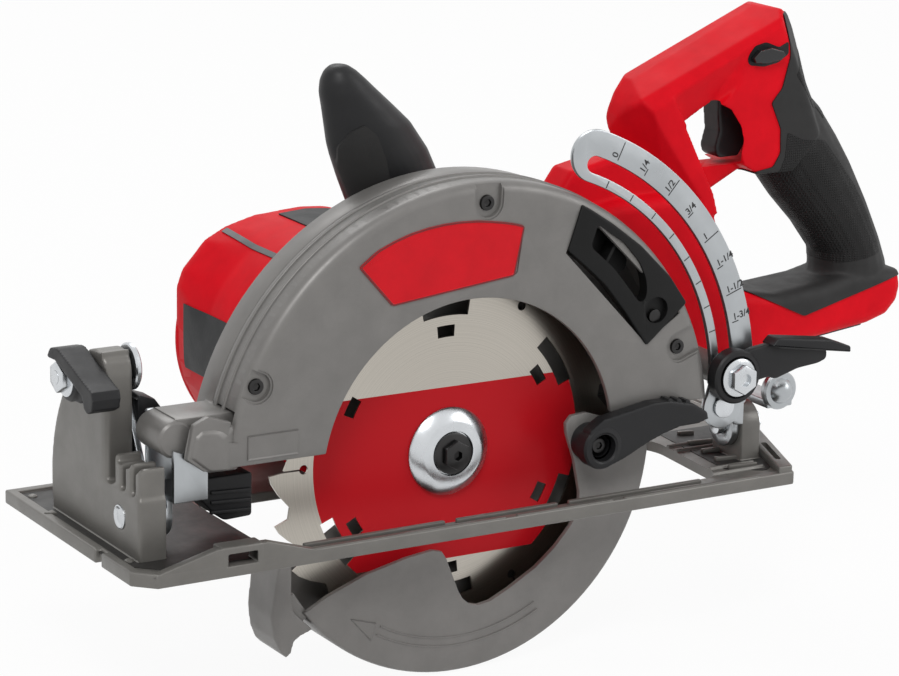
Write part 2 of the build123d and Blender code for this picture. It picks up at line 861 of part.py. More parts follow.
def chip_chute():
    y1 = guard_near_y + chute_t
    x, z = on_guard([chute_screw])[0]
    insert = prism_y(chute_face() - poly(on_guard(chute_mouth)), guard_near_y, y1)
    insert -= cyl_y(x, z, chute_head_r + hole_fit, guard_near_y, guard_near_y + chute_head_h)
    return insert - cyl_y(x, z, screw_r, guard_near_y, y1)


def chip_chute_screw():
    x, z = on_guard([chute_screw])[0]
    screw = cyl_y(x, z, screw_r, guard_near_y, guard_near_y + chute_t)
    return screw + cyl_y(x, z, chute_head_r, guard_near_y, guard_near_y + chute_head_h)


def gear_case_face():
    top = drum_z + drum_r - case_inset
    face = disc(0, arbor_z, guard_foot_r) + drum_face(drum_r - case_inset, drum_bottom_z)
    return face + rect(drum_x, arbor_z + gear_case_low, gear_case_rear, top)


def lock_rod(r, r0, r1):
    rod = Pos(r0, 0, 0) * Rot(0, 90, 0) * extrude(Circle(r), r1 - r0)
    return Pos(0, gear_y0 - collar_w / 2, arbor_z) * Rot(0, -lock_direction, 0) * rod


def gear_case():
    room_r = gear_pitch_r + gear_room * gear_module
    solid = prism_y(gear_case_face(), guard_back_y, gear_case_y1)
    cavity = disc(0, arbor_z, room_r)
    cavity += disc(motor_x, motor_z, pinion_pitch_r + pinion_room * gear_module)
    solid -= prism_y(cavity, guard_back_y, gear_wall_y)
    solid -= cyl_y(0, arbor_z, small_bearing_r, gear_wall_y, gear_wall_y + small_bearing_w)
    solid -= cyl_y(motor_x, motor_z, rotor_shaft_r + shaft_gap, gear_wall_y, gear_case_y1)
    solid -= cyl_y(motor_x, motor_z, small_bearing_r, gear_case_y1 - small_bearing_w, gear_case_y1)
    solid += lock_rod(lock_pin_r + lock_boss_wall, room_r, guard_foot_r + lock_boss_len)
    return solid - lock_rod(lock_pin_r + hole_fit, 0, guard_foot_r + lock_boss_len + overlap)


def spindle_lock():
    tip = lock_collar_r + lock_gap
    seat = guard_foot_r + lock_boss_len + lock_travel + lock_end_gap
    return lock_rod(lock_pin_r, tip, seat) + lock_rod(lock_button_r, seat, seat + lock_button_len)


# Lower guard, turning about the arbor


def lower_guard():
    center = Pos(0, arbor_z)
    rim_r = low_guard_r - low_guard_t
    near = poly(on_low_guard(low_front_outline)) + poly(on_low_guard(low_arm_outline))
    near &= Circle(low_guard_r)
    near += ring_sector(low_guard_inner_r, low_guard_r, crescent_start, crescent_end)
    near &= fan_face(low_guard_r, low_guard_front, low_guard_rear + arm_overhang)
    rim = ring_sector(rim_r, low_guard_r, low_guard_front, low_guard_rear)
    rim += ring_sector(rim_r, toe_r, low_guard_front, low_guard_front + toe_span)
    back = sector(low_guard_r, low_guard_front, low_guard_rear) + Circle(hub_r)
    solid = prism_y(center * near, low_near_y, low_near_y + low_guard_t)
    solid += prism_y(center * rim, low_near_y, low_far_y)
    solid += prism_y(center * back, low_far_y - low_guard_t, low_far_y)
    solid += cyl_y(0, arbor_z, hub_r, low_far_y - hub_w, low_far_y)
    solid -= cyl_y(0, arbor_z, guard_boss_r + hub_fit, low_far_y - hub_w, low_far_y)
    return solid - cyl_y(lever_boss_x, arbor_z, screw_r, low_near_y, low_near_y + low_guard_t)


def guard_lever():
    boss = disc(lever_boss_x, arbor_z, lever_boss_r)
    seat = lever_screw_y + screw_head_h
    arm = rounded(shifted(guard_lever_outline, lever_boss_x, arbor_z), lever_round)
    solid = prism_y(arm + boss, lever_y0, guard_near_y - lever_gap)
    solid += prism_y(boss, lever_y0, low_near_y)
    solid -= cyl_y(lever_boss_x, arbor_z, lever_recess_r, lever_y0, seat)
    return solid - cyl_y(lever_boss_x, arbor_z, screw_r, seat, low_near_y)


def guard_lever_screw():
    return socket_screw(lever_boss_x, arbor_z, lever_screw_y, low_near_y + low_guard_t)


def guard_spring():
    # The close-wound coil round the hub is one ring of its outer shape.
    r_in = hub_r + run_gap
    y1 = low_far_y - low_guard_t
    return tube_y(0, arbor_z, r_in, r_in + 2 * spring_wire_r, y1 - spring_len, y1)


# Shoe, the root


def shoe_outline():
    points = [
        (shoe_front + shoe_corner, -shoe_half_w), (shoe_rear_near, -shoe_half_w),
        (shoe_rear_far, shoe_slant_y), (shoe_rear_far, shoe_half_w), (shoe_front, shoe_half_w),
        (shoe_front, -shoe_half_w + shoe_corner),
    ]
    return poly(points)


def base_shoe():
    low_z = shoe_t - shoe_sink
    outline = shoe_outline()
    opening = fillet(rect(open_x0, open_y0, open_x1, open_y1).vertices(), open_round)
    plate = prism_z(outline - opening, 0, shoe_t)
    plate += prism_z(outline - offset(outline, -shoe_rim_w), 0, shoe_rim_h)
    for k in range(tray_ribs):
        y = tray_y0 - tray_pitch * k
        if abs(y + tray_rib_w / 2 - bevel_y) > rear_lug_r + tray_rib_w:
            plate += block(tray_x0, tray_x1, y, y + tray_rib_w, shoe_t, shoe_rim_h)
    tall = disc(bevel_y, bevel_z, upright_r)
    tall &= rect(upright_near_y, low_z, bevel_y + upright_r, bevel_z + upright_r)
    plate += prism_x(tall, upright_x0, upright_x1)
    plate += block(upright_x0, upright_x1, block_near_y, upright_near_y + overlap, low_z, block_top_z)
    for k in range(fin_count):
        y = block_near_y + fin_pitch * k
        plate += block(upright_x0 + fin_inset, upright_x1, y, y + fin_t, low_z, fin_top_z)
    plate += cyl_x(bevel_y, bevel_z, bevel_boss_r, upright_x1, quadrant_x0 - run_gap)
    lug = disc(bevel_y, bevel_z, rear_lug_r)
    lug += rect(bevel_y - rear_lug_r, low_z, bevel_y + rear_lug_r, bevel_z)
    plate += prism_x(lug, rear_lug_x0, rear_lug_x1)
    fence_x1 = fence_x0 + fence_w
    fence_top = shoe_t + fence_h
    boss_y1 = -shoe_half_w + fence_boss_w
    plate += block(
        fence_x0 - fence_wall, fence_x1 + fence_wall, -shoe_half_w, boss_y1, low_z, fence_top + fence_wall
    )
    plate -= block(fence_x0, fence_x1, -shoe_half_w, shoe_half_w, shoe_t, fence_top)
    sight_y0 = blade_y - sight_w / 2
    plate -= block(shoe_front, shoe_front + sight_depth, sight_y0, sight_y0 + sight_w, 0, shoe_rim_h)
    plate -= cyl_x(bevel_y, bevel_z, bevel_pin_r, upright_x0, quadrant_x0)
    plate -= cyl_x(bevel_y, bevel_z, rear_pin_r, rear_lug_x0, rear_lug_x1)
    return plate - cyl_x(clamp_y, clamp_bolt_z, bevel_bolt_r, upright_x0, upright_x1)


def front_bevel_pivot():
    pin = cyl_x(bevel_y, bevel_z, bevel_pin_r, upright_x0, quadrant_x1 + hinge_ear_t + bevel_pin_end)
    return pin + cyl_x(bevel_y, bevel_z, bevel_pin_head_r, upright_x0 - bevel_pin_head_t, upright_x0)


def rear_bevel_pivot():
    pin = cyl_x(bevel_y, bevel_z, rear_pin_r, rear_lug_x0 - rear_pin_reach, rear_lug_x1)
    return pin + prism_x(hexagon(bevel_y, bevel_z, rear_nut_r), rear_lug_x1, rear_lug_x1 + rear_nut_h)


def bevel_clamp_bolt():
    head_x = quadrant_x1 + run_gap
    bolt = cyl_x(clamp_y, clamp_bolt_z, bevel_bolt_r, upright_x0 - bevel_lever_t - nut_h, head_x)
    return bolt + cyl_x(clamp_y, clamp_bolt_z, bevel_bolt_head_r, head_x, head_x + bevel_bolt_head_t)


# Bevel clamp lever


def bevel_lever():
    face = rounded(shifted(bevel_lever_outline, clamp_y, clamp_bolt_z), lever_round)
    face += disc(clamp_y, clamp_bolt_z, bevel_lever_hub_r)
    face -= disc(clamp_y, clamp_bolt_z, bevel_bolt_r + pin_fit)
    return prism_x(face, upright_x0 - bevel_lever_t, upright_x0 - run_gap)


def bevel_clamp_nut():
    x1 = upright_x0 - bevel_lever_t
    face = hexagon(clamp_y, clamp_bolt_z, nut_r) - disc(clamp_y, clamp_bolt_z, bevel_bolt_r + pin_fit)
    return prism_x(face, x1 - nut_h, x1)


# Bevel carriage


def bevel_quadrant():
    low = bevel_clamp_angle - bevel_range
    high = bevel_clamp_angle
    r_in = bevel_slot_r - quadrant_band / 2
    r_out = bevel_slot_r + quadrant_band / 2
    band = ring_sector(r_in, r_out, low - quadrant_margin, high + quadrant_margin)
    web = sector(bevel_slot_r, low - quadrant_web_low, high + quadrant_web_high)
    face = Pos(bevel_y, bevel_z) * (band + web + Circle(bevel_pin_head_r + quadrant_eye))
    half = bevel_bolt_r + bevel_slot_play
    face -= slot_arc(bevel_y, bevel_z, bevel_slot_r, low - slot_margin, high + slot_margin, half)
    face -= disc(bevel_y, bevel_z, bevel_pin_r + pin_fit)
    return prism_x(face, quadrant_x0, quadrant_x1)


def front_hinge_bracket():
    x0 = quadrant_x1
    x1 = hinge_x + hinge_foot
    base_top = hinge_base_z + hinge_ear_t
    ear = disc(hinge_x, hinge_z, hinge_ear_r)
    ear += poly(
        [(x0, hinge_base_z), (x1, hinge_base_z), (x1, hinge_base_z + hinge_ear_step),
         (hinge_x + hinge_ear_r, hinge_z), (x0, hinge_z)]
    )
    ear &= rect(x0, hinge_base_z, x1, hinge_z + hinge_ear_r)
    solid = prism_y(ear, hinge_near_y, hinge_near_y + hinge_ear_t)
    solid += prism_y(ear, hinge_far_y - hinge_ear_t, hinge_far_y)
    solid += block(x0, x1, hinge_near_y, hinge_far_y, hinge_base_z, base_top)
    flange_r = bevel_pin_head_r + hinge_flange
    flange = disc(bevel_y, bevel_z, flange_r) + rect(bevel_y - flange_r, bevel_z, hinge_far_y, base_top)
    solid += prism_x(flange, x0, x0 + hinge_ear_t)
    solid -= cyl_y(hinge_x, hinge_z, hinge_pin_r, hinge_near_y, hinge_far_y)
    return solid - cyl_x(bevel_y, bevel_z, bevel_pin_r + pin_fit, x0, x0 + hinge_ear_t)


def front_hinge_pin():
    return cyl_y(hinge_x, hinge_z, hinge_pin_r, hinge_near_y - hinge_pin_end, hinge_far_y + hinge_pin_end)


def bevel_stop_block():
    y0 = upright_near_y + stop_block_gap
    face = rounded(shifted(stop_block_outline, quadrant_x1, 0), stop_block_round)
    face += rect(quadrant_x1, stop_block_outline[0][1], quadrant_x1 + stop_foot_t, stop_foot_top)
    return prism_y(face, y0, y0 + stop_block_w)


def rear_pivot_bracket():
    x1 = rear_lug_x0 - run_gap
    x0 = x1 - link_plate_t
    ear_y0 = bracket_y1 + run_gap
    plate_y1 = bevel_y + link_plate_half
    ear = disc(link_x, link_z, link_ear_r)
    ear += poly(
        [(link_x - link_ear_r, link_z), (x0, link_foot_z), (x1, link_foot_z), (x1, link_z + link_top),
         (link_x, link_z + link_ear_r)]
    )
    solid = prism_y(ear, ear_y0, ear_y0 + link_ear_t)
    plate = disc(bevel_y, bevel_z, link_plate_half)
    plate += rect(bevel_y - link_plate_half, bevel_z, plate_y1, link_z)
    plate += rect(ear_y0, link_foot_z, plate_y1, link_z + link_plate_t)
    solid += prism_x(plate, x0, x1)
    solid -= cyl_y(link_x, link_z, link_pin_r, ear_y0, ear_y0 + link_ear_t)
    return solid - cyl_x(bevel_y, bevel_z, rear_pin_r + pin_fit, x0, x1)


def link_pin():
    head_y1 = bracket_y0 - run_gap
    pin = cyl_y(link_x, link_z, link_pin_r, head_y1, bracket_y1 + run_gap + link_ear_t + link_pin_end)
    return pin + cyl_y(link_x, link_z, link_pin_r + link_head_rim, head_y1 - link_head_t, head_y1)


# Depth bracket, whose slot follows the clamp bolt


def turned(point, pivot, angle):
    x = point[0] - pivot[0]
    z = point[1] - pivot[1]
    c = cos(radians(angle))
    s = sin(radians(angle))
    return (pivot[0] + x * c - z * s, pivot[1] + x * s + z * c)


def bolt_in_bracket(angle):
    raised = turned((clamp_x, clamp_z), (hinge_x, hinge_z), angle)
    return turned(raised, (link_x, link_z), depth_ratio * angle)


def circle_through(p, q, r):
    ax, ay = q[0] - p[0], q[1] - p[1]
    bx, by = r[0] - p[0], r[1] - p[1]
    d = 2 * (ax * by - ay * bx)
    u = (by * (ax * ax + ay * ay) - ay * (bx * bx + by * by)) / d
    v = (ax * (bx * bx + by * by) - bx * (ax * ax + ay * ay)) / d
    return (p[0] + u, p[1] + v, hypot(u, v))


def depth_bracket():
    start, middle, end = [bolt_in_bracket(depth_range * t) for t in (0, 0.5, 1)]
    u, v, r = circle_through(start, middle, end)
    a0 = degrees(atan2(start[1] - v, start[0] - u))
    a1 = degrees(atan2(end[1] - v, end[0] - u))
    low = a0 - bracket_margin
    high = a1 + bracket_margin
    r_in = r - bracket_in
    r_out = r + bracket_out
    face = Pos(u, v) * ring_sector(r_in, r_out, low, high)
    face += disc(*polar((r_in + r_out) / 2, high, u, v), (r_out - r_in) / 2)
    foot = [(link_x + bracket_foot, link_z), (link_x - bracket_eye_r, link_z)]
    face += poly([polar(r_in, low, u, v), polar(r_out, low, u, v)] + foot)
    face += disc(link_x, link_z, bracket_eye_r)
    face -= slot_arc(u, v, r, a0, a1, clamp_bolt_r + clamp_slot_play)
    face -= disc(link_x, link_z, link_pin_r + pin_fit)
    return prism_y(face, bracket_y0, bracket_y1)


def depth_clamp_bolt():
    y0 = depth_lever_y0 + nut_sink - nut_h
    return cyl_y(clamp_x, clamp_z, clamp_bolt_r, y0, guard_back_y - clamp_bolt_blind)


def depth_clamp_washer():
    return tube_y(clamp_x, clamp_z, clamp_bolt_r, washer_r, washer_y0, washer_y0 + washer_t)


def depth_lever():
    face = rounded(shifted(depth_lever_outline, clamp_x, clamp_z), depth_lever_round)
    face += disc(clamp_x, clamp_z, depth_lever_hub_r)
    face -= disc(clamp_x, clamp_z, clamp_bolt_r + pin_fit)
    solid = prism_y(face, depth_lever_y0, depth_lever_y1)
    return solid - prism_y(hexagon(clamp_x, clamp_z, nut_r), depth_lever_y0, depth_lever_y0 + nut_sink)


def depth_clamp_nut():
    y1 = depth_lever_y0 + nut_sink
    face = hexagon(clamp_x, clamp_z, nut_r) - disc(clamp_x, clamp_z, clamp_bolt_r + pin_fit)
    return prism_y(face, y1 - nut_h, y1)


# Rear handle


def finger_hole():
    return rounded(finger_hole_outline, finger_hole_round)


def hand_hole():
    return rounded(hand_hole_outline, hand_hole_round)


def handle_outer():
    return rounded(handle_outline, handle_corner)


def handle_shell():
    solid = prism_y(handle_outer() - finger_hole() - hand_hole(), handle_y0, handle_y1)
    ends = solid.faces().sort_by(Axis.Y)
    solid = fillet(ends[0].outer_wire().edges() + ends[-1].outer_wire().edges(), handle_edge)
    ends = solid.faces().sort_by(Axis.Y)
    rims = [wire.edges() for end in (ends[0], ends[-1]) for wire in end.inner_wires()]
    solid = fillet([edge for rim in rims for edge in rim], hole_edge)
    core = offset(handle_outer(), -handle_wall)
    core -= offset(finger_hole(), handle_wall) + offset(hand_hole(), handle_wall)
    solid -= prism_y(core, inside_y0, inside_y1)
    head_y0 = handle_y1 - handle_screw_sink - handle_screw_head_h
    for x, z in handle_screw_points:
        solid += cyl_y(x, z, handle_boss_r, inside_y0, inside_y1)
        solid -= cyl_y(x, z, handle_screw_r, handle_y1 - handle_screw_len, handle_y1)
        solid -= cyl_y(x, z, handle_screw_head_r + hole_fit, head_y0, handle_y1)
    half = trigger_w / 2 + trigger_gap
    solid -= prism_y(rect(*trigger_slot), handle_mid - half, handle_mid + half)
    pin_y0 = handle_y0 + trigger_pin_wall
    solid += cyl_y(trigger_pivot_x, trigger_pivot_z, trigger_pin_r, pin_y0, handle_y1 - trigger_pin_wall)
    window = rect(
        lock_off_x0 - lock_off_gap, lock_off_z0 - lock_off_gap,
        lock_off_x1 + lock_off_gap, lock_off_z1 + lock_off_gap,
    )
    solid -= prism_y(window, handle_y0, inside_y0 + overlap)
    return solid - prism_y(battery_seat_face(overlap), inside_y0, inside_y1)


def half_shell(y0, y1):
    solid = handle_shell()
    size = solid.bounding_box()
    return solid & block(size.min.X, size.max.X, y0, y1, size.min.Z, size.max.Z)


def handle_shell_near():
    return half_shell(handle_y0, handle_mid)


def handle_shell_far():
    return half_shell(handle_mid, handle_y1)


def handle_screws():
    head_y1 = handle_y1 - handle_screw_sink
    group = []
    for x, z in handle_screw_points:
        screw = cyl_y(x, z, handle_screw_r, handle_y1 - handle_screw_len, head_y1)
        group.append(screw + cyl_y(x, z, handle_screw_head_r, head_y1 - handle_screw_head_h, head_y1))
    return Compound(children=group)


def grip_face():
    inset = offset(handle_outer(), -pad_inset)
    inset -= offset(finger_hole(), pad_inset) + offset(hand_hole(), pad_inset)
    return poly(grip_outline) & inset


def grip_near():
    return prism_y(grip_face(), handle_y0 - pad_t, handle_y0)


def grip_far():
    face = grip_face()
    for x, z in handle_screw_points:
        face -= disc(x, z, handle_screw_head_r + pad_screw_rim)
    return prism_y(face, handle_y1, handle_y1 + pad_t)


def battery_seat_face(sink=0.0):
    # The seat's underside lies on the handle's foot, or below it by the given sink.
    slope = (foot_z1 - foot_z0) / (foot_x1 - foot_x0)
    low0 = foot_z0 + (seat_x0 - foot_x0) * slope
    low1 = foot_z0 + (seat_x1 - foot_x0) * slope
    top = [(seat_x1 - seat_lean, low1 + seat_h), (seat_x0 - seat_lean, low0 + seat_h)]
    return poly([(seat_x0, low0 - sink), (seat_x1, low1 - sink)] + top)


def terminal_blades():
    face = poly(terminal_outline)
    first = handle_mid - terminal_pitch * (terminal_count - 1) / 2 - terminal_t / 2
    starts = [first + terminal_pitch * k for k in range(terminal_count)]
    return [prism_y(face, y, y + terminal_t) for y in starts]


def battery_seat():
    solid = prism_y(battery_seat_face(), inside_y0, inside_y1)
    solid -= prism_y(poly(battery_neck_outline), handle_mid - neck_half, handle_mid + neck_half)
    solid -= prism_y(poly(battery_rail_outline), handle_mid - rail_half, handle_mid + rail_half)
    for blade in terminal_blades():
        solid -= blade
    return solid


def battery_terminals():
    return Compound(children=terminal_blades())


def switch_module():
    return block(switch_x0, switch_x0 + switch_len, inside_y0, inside_y1, switch_z0, switch_z0 + switch_h)


def control_module():
    x1 = control_x0 + control_side
    return block(control_x0, x1, inside_y0, inside_y0 + control_t, control_z0, control_z0 + control_side)


def trigger():
    half = trigger_w / 2
    face = rounded(trigger_outline, trigger_round)
    face += disc(trigger_pivot_x, trigger_pivot_z, trigger_pin_r + trigger_eye)
    face -= disc(trigger_pivot_x, trigger_pivot_z, trigger_pin_r + pin_fit)
    return prism_y(face, handle_mid - half, handle_mid + half)


def lock_off_button():
    face = rect(lock_off_x0, lock_off_z0, lock_off_x1, lock_off_z1)
    return prism_y(face, handle_y0 - lock_off_out, handle_y0 + lock_off_in)


# Front handle and rafter hook


def front_handle():
    face = rounded(front_handle_outline, front_handle_corner)
    solid = prism_y(face, front_handle_y0, front_handle_y0 + front_handle_w)
    ends = solid.faces().sort_by(Axis.Y)
    solid = fillet(ends[0].edges() + ends[-1].edges(), front_handle_edge)
    solid -= prism_y(gear_case_face(), guard_back_y, gear_case_y1)
    return solid - prism_y(drum_face(drum_r, drum_bottom_z), gear_case_y1, drum_y1)


def rafter_hook_pin():
    head_z = hook_z - hook_head_gap
    boss_z = hook_z + hook_t + run_gap
    pin = cyl_z(hook_x, hook_y, hook_pin_r, head_z, boss_z)
    pin += cyl_z(hook_x, hook_y, hook_pin_r + hook_head_rim, head_z - hook_head_t, head_z)
    pin += cyl_z(hook_x, hook_y, hook_pin_r + hook_boss_rim, boss_z, boss_z + hook_boss_len)
    return pin - prism_y(handle_outer(), handle_y0, handle_y1)


def rafter_hook():
    x0 = hook_x - hook_w / 2
    x1 = hook_x + hook_w / 2
    tip_y = hook_y - hook_reach
    arm = rect(x0, tip_y, x1, hook_y) + disc(hook_x, hook_y, hook_w / 2)
    arm -= disc(hook_x, hook_y, hook_pin_r + pin_fit)
    tip = rect(x0, hook_z, x1, hook_z + hook_tip_r) + disc(hook_x, hook_z + hook_tip_r, hook_w / 2)
    return prism_z(arm, hook_z, hook_z + hook_t) + prism_y(tip, tip_y, tip_y + hook_t)


nodes = [
    base_shoe, front_bevel_pivot, rear_bevel_pivot, bevel_clamp_bolt, bevel_lever, bevel_clamp_nut,
    bevel_quadrant, front_hinge_bracket, front_hinge_pin, bevel_stop_block, rear_pivot_bracket, link_pin,
    depth_bracket, depth_clamp_bolt, depth_clamp_washer, depth_lever, depth_clamp_nut,
    upper_guard_body, upper_guard_cover, guard_screws, badge_plate, chip_chute, chip_chute_screw, gear_case,
    spindle_bearing_front, spindle_bearing_rear, rotor_bearing_front, rotor_bearing_rear,
    motor_housing, motor_end_cap, stator, saw_blade, spindle, inner_flange, outer_flange, blade_bolt,
    drive_gear, motor_pinion, rotor_shaft, rotor_core, cooling_fan,
    lower_guard, guard_lever, guard_lever_screw, guard_spring, spindle_lock,
    handle_shell_near, handle_shell_far, handle_screws, grip_near, grip_far, battery_seat, battery_terminals,
    switch_module, control_module, trigger, lock_off_button, front_handle, rafter_hook_pin, rafter_hook,
]

os.makedirs("parts", exist_ok=True)
for node in nodes:
    export_step(node(), "parts/" + node.__name__ + ".step")
print("depth range in degrees", round(depth_range, 3))
print("nodes", len(nodes))
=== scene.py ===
import math
import bmesh
import bpy
from mathutils import Matrix, Vector


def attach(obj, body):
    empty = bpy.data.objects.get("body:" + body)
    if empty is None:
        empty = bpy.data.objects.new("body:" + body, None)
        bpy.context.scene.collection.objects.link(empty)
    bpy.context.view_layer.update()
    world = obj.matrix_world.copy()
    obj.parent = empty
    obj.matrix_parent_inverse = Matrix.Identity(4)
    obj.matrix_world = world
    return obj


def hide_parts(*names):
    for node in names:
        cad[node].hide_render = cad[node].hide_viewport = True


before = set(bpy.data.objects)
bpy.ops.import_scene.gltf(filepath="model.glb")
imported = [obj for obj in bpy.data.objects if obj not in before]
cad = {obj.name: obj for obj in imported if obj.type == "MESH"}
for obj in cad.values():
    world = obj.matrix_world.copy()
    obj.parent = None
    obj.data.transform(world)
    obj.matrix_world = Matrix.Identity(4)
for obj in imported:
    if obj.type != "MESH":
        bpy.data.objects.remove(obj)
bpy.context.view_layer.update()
mm = 0.001
arbor = (0, 28.6)  # x and z of the blade's axis
print("frame loaded,", len(cad), "nodes")


def addObject(name, data):
    obj = bpy.data.objects.new(name, data)
    bpy.context.scene.collection.objects.link(obj)
    return obj


# camera at the photograph's angle
cameraView = {
    "place": (-741.7, -1263.4, 454.5), "lens": 131.0, "sensor": 36, "clipEnd": 50,
    "right": (0.85936, -0.51099, 0.01977), "up": (0.11171, 0.22532, 0.96787),
}
camData = bpy.data.cameras.new("camera")
camData.lens = cameraView["lens"]
camData.sensor_width = cameraView["sensor"]
camData.clip_end = cameraView["clipEnd"]
cam = addObject("camera", camData)
right = Vector(cameraView["right"]).normalized()
back = right.cross(Vector(cameraView["up"])).normalized()
aim = Matrix((right, back.cross(right), back)).transposed().to_4x4()
cam.matrix_world = Matrix.Translation(Vector(cameraView["place"]) * mm) @ aim
bpy.context.scene.camera = cam
bpy.context.scene.view_settings.view_transform = "Standard"
print("camera set")


# finishes
noiseSpan = (0.3, 0.7)  # where most of a noise's values lie
grainStrength = 0.6


def addNode(tree, kind, **values):
    node = tree.nodes.new(kind)
    for key, value in values.items():
        socket = key.replace("_", " ")
        if socket in node.inputs:
            node.inputs[socket].default_value = value
        else:
            setattr(node, key, value)
    return node


def wire(tree, *pairs):
    for source, target in pairs:
        tree.links.new(source, target)


def newFinish(name, colour, **sockets):
    mat = bpy.data.materials.new(name)
    mat.use_nodes = True
    tree = mat.node_tree
    shader = tree.nodes["Principled BSDF"]
    for key, value in {"Base_Color": (*colour, 1), **sockets}.items():
        shader.inputs[key.replace("_", " ")].default_value = value
    return mat, tree, shader, tree.nodes.new("ShaderNodeTexCoord").outputs["Object"]


def speckle(tree, where, **values):
    noise = addNode(tree, "ShaderNodeTexNoise", **values)
    wire(tree, (where, noise.inputs["Vector"]))
    return noise.outputs["Fac"]


def rampOf(tree, source, dark, light):
    ramp = tree.nodes.new("ShaderNodeValToRGB")
    for stop, place, colour in zip(ramp.color_ramp.elements, noiseSpan, (dark, light)):
        stop.position = place
        stop.color = (*colour, 1)
    wire(tree, (source, ramp.inputs["Fac"]))
    return ramp.outputs["Color"]


def spanOf(tree, source, low, high, **values):
    span = addNode(tree, "ShaderNodeMapRange", To_Min=low, To_Max=high, **values)
    wire(tree, (source, span.inputs["Value"]))
    return span.outputs["Result"]


def bumpOf(tree, shader, height, strength, depth):
    bump = addNode(tree, "ShaderNodeBump", Strength=strength, Distance=depth)
    wire(tree, (height, bump.inputs["Height"]), (bump.outputs["Normal"], shader.inputs["Normal"]))


def combine(tree, operation, first, second):
    both = addNode(tree, "ShaderNodeMath", operation=operation)
    wire(tree, (first, both.inputs[0]), (second, both.inputs[1]))
    return both.outputs[0]


def drift(tree, shader, where, colour, low, high, tintScale=60, spread=0.08, sheenScale=90):
    # colour and sheen change a little from place to place
    tone = speckle(tree, where, Scale=tintScale, Detail=4, Roughness=0.6)
    tint = rampOf(tree, tone, [c * (1 - spread) for c in colour], [min(1, c * (1 + spread)) for c in colour])
    wear = speckle(tree, where, Scale=sheenScale, Detail=5, Roughness=0.65)
    sheen = spanOf(tree, wear, low, high, From_Min=noiseSpan[0], From_Max=noiseSpan[1])
    wire(tree, (tint, shader.inputs["Base Color"]), (sheen, shader.inputs["Roughness"]))


def moulded(name, colour, low, high, grainScale, grainDepth, **sockets):
    mat, tree, shader, where = newFinish(name, colour, **sockets)
    drift(tree, shader, where, colour, low, high)
    bumpOf(tree, shader, speckle(tree, where, Scale=grainScale, Detail=2), grainStrength, grainDepth)
    return mat


def plated(name, colour, low, high, grainScale=900, grainDepth=0.00001):
    mat, tree, shader, where = newFinish(name, colour, Metallic=1.0)
    drift(tree, shader, where, colour, low, high, tintScale=45, spread=0.06, sheenScale=70)
    bumpOf(tree, shader, speckle(tree, where, Scale=grainScale, Detail=2), grainStrength, grainDepth)
    return mat


# each: colour, least and most roughness, scale and depth of the grain
castPaint = moulded("castPaint", (0.185, 0.178, 0.17), 0.34, 0.44, 1500, 0.00003, Metallic=0.25)
lowerPaint = moulded("lowerPaint", (0.19, 0.182, 0.174), 0.36, 0.48, 1500, 0.00003, Metallic=0.2)
shoePaint = moulded("shoePaint", (0.165, 0.158, 0.146), 0.32, 0.44, 1300, 0.00004, Metallic=0.3)
# near-black painted shade for the recessed tray floors in the shoe
trayShade = moulded("trayShade", (0.013, 0.012, 0.011), 0.45, 0.6, 1300, 0.00004)
redPlastic = moulded("redPlastic", (0.72, 0.005, 0.014), 0.42, 0.52, 2200, 0.00002, Specular_IOR_Level=0.07)
blackPlastic = moulded("blackPlastic", (0.012, 0.012, 0.013), 0.4, 0.52, 2200, 0.00003, Specular_IOR_Level=0.28)
shinyPlastic = moulded("shinyPlastic", (0.01, 0.01, 0.011), 0.16, 0.26, 2200, 0.00001)
rubber = moulded("rubber", (0.012, 0.0115, 0.0115), 0.55, 0.7, 1600, 0.00006, Specular_IOR_Level=0.4)
badgeRed = moulded("badgeRed", (0.62, 0.004, 0.012), 0.3, 0.4, 900, 0.00001, Specular_IOR_Level=0.2)
badgeEdge = moulded("badgeEdge", (0.16, 0.002, 0.005), 0.3, 0.4, 900, 0.00001)
panelGrey = moulded("panelGrey", (0.02, 0.021, 0.022), 0.5, 0.62, 700, 0.00012, Specular_IOR_Level=0.3)
stripGrey = moulded("stripGrey", (0.07, 0.07, 0.074), 0.35, 0.5, 900, 0.00003)
chuteBlack = moulded("chuteBlack", (0.006, 0.006, 0.006), 0.42, 0.55, 2200, 0.00003, Specular_IOR_Level=0.2)
scaleInk = moulded("scaleInk", (0.02, 0.02, 0.021), 0.5, 0.6, 900, 0.00001)
zinc = plated("zinc", (0.6, 0.62, 0.64), 0.2, 0.32)
zincPlate = plated("zincPlate", (0.43, 0.45, 0.465), 0.26, 0.38)
blackSteel = plated("blackSteel", (0.045, 0.044, 0.044), 0.3, 0.45)
turnedSteel = plated("turnedSteel", (0.55, 0.55, 0.55), 0.25, 0.4)
lamination = plated("lamination", (0.2, 0.2, 0.21), 0.4, 0.55)
brass = plated("brass", (0.72, 0.5, 0.2), 0.25, 0.4)

# rubber with rows of small domes
dots = {
    "colour": (0.01, 0.0097, 0.0097), "sheen": (0.5, 0.66), "spread": 0.1, "scale": 820, "uneven": 0.12,
    "reach": 0.6, "strength": 0.9, "high": 0.0004,
}
dottedRubber, tree, shader, where = newFinish("dottedRubber", dots["colour"], Specular_IOR_Level=0.22)
drift(tree, shader, where, dots["colour"], *dots["sheen"], spread=dots["spread"])
cells = addNode(tree, "ShaderNodeTexVoronoi", Scale=dots["scale"], Randomness=dots["uneven"])
wire(tree, (where, cells.inputs["Vector"]))
dome = spanOf(tree, cells.outputs["Distance"], 1.0, 0.0, From_Max=dots["reach"], interpolation_type="SMOOTHSTEP")
bumpOf(tree, shader, dome, dots["strength"], dots["high"])

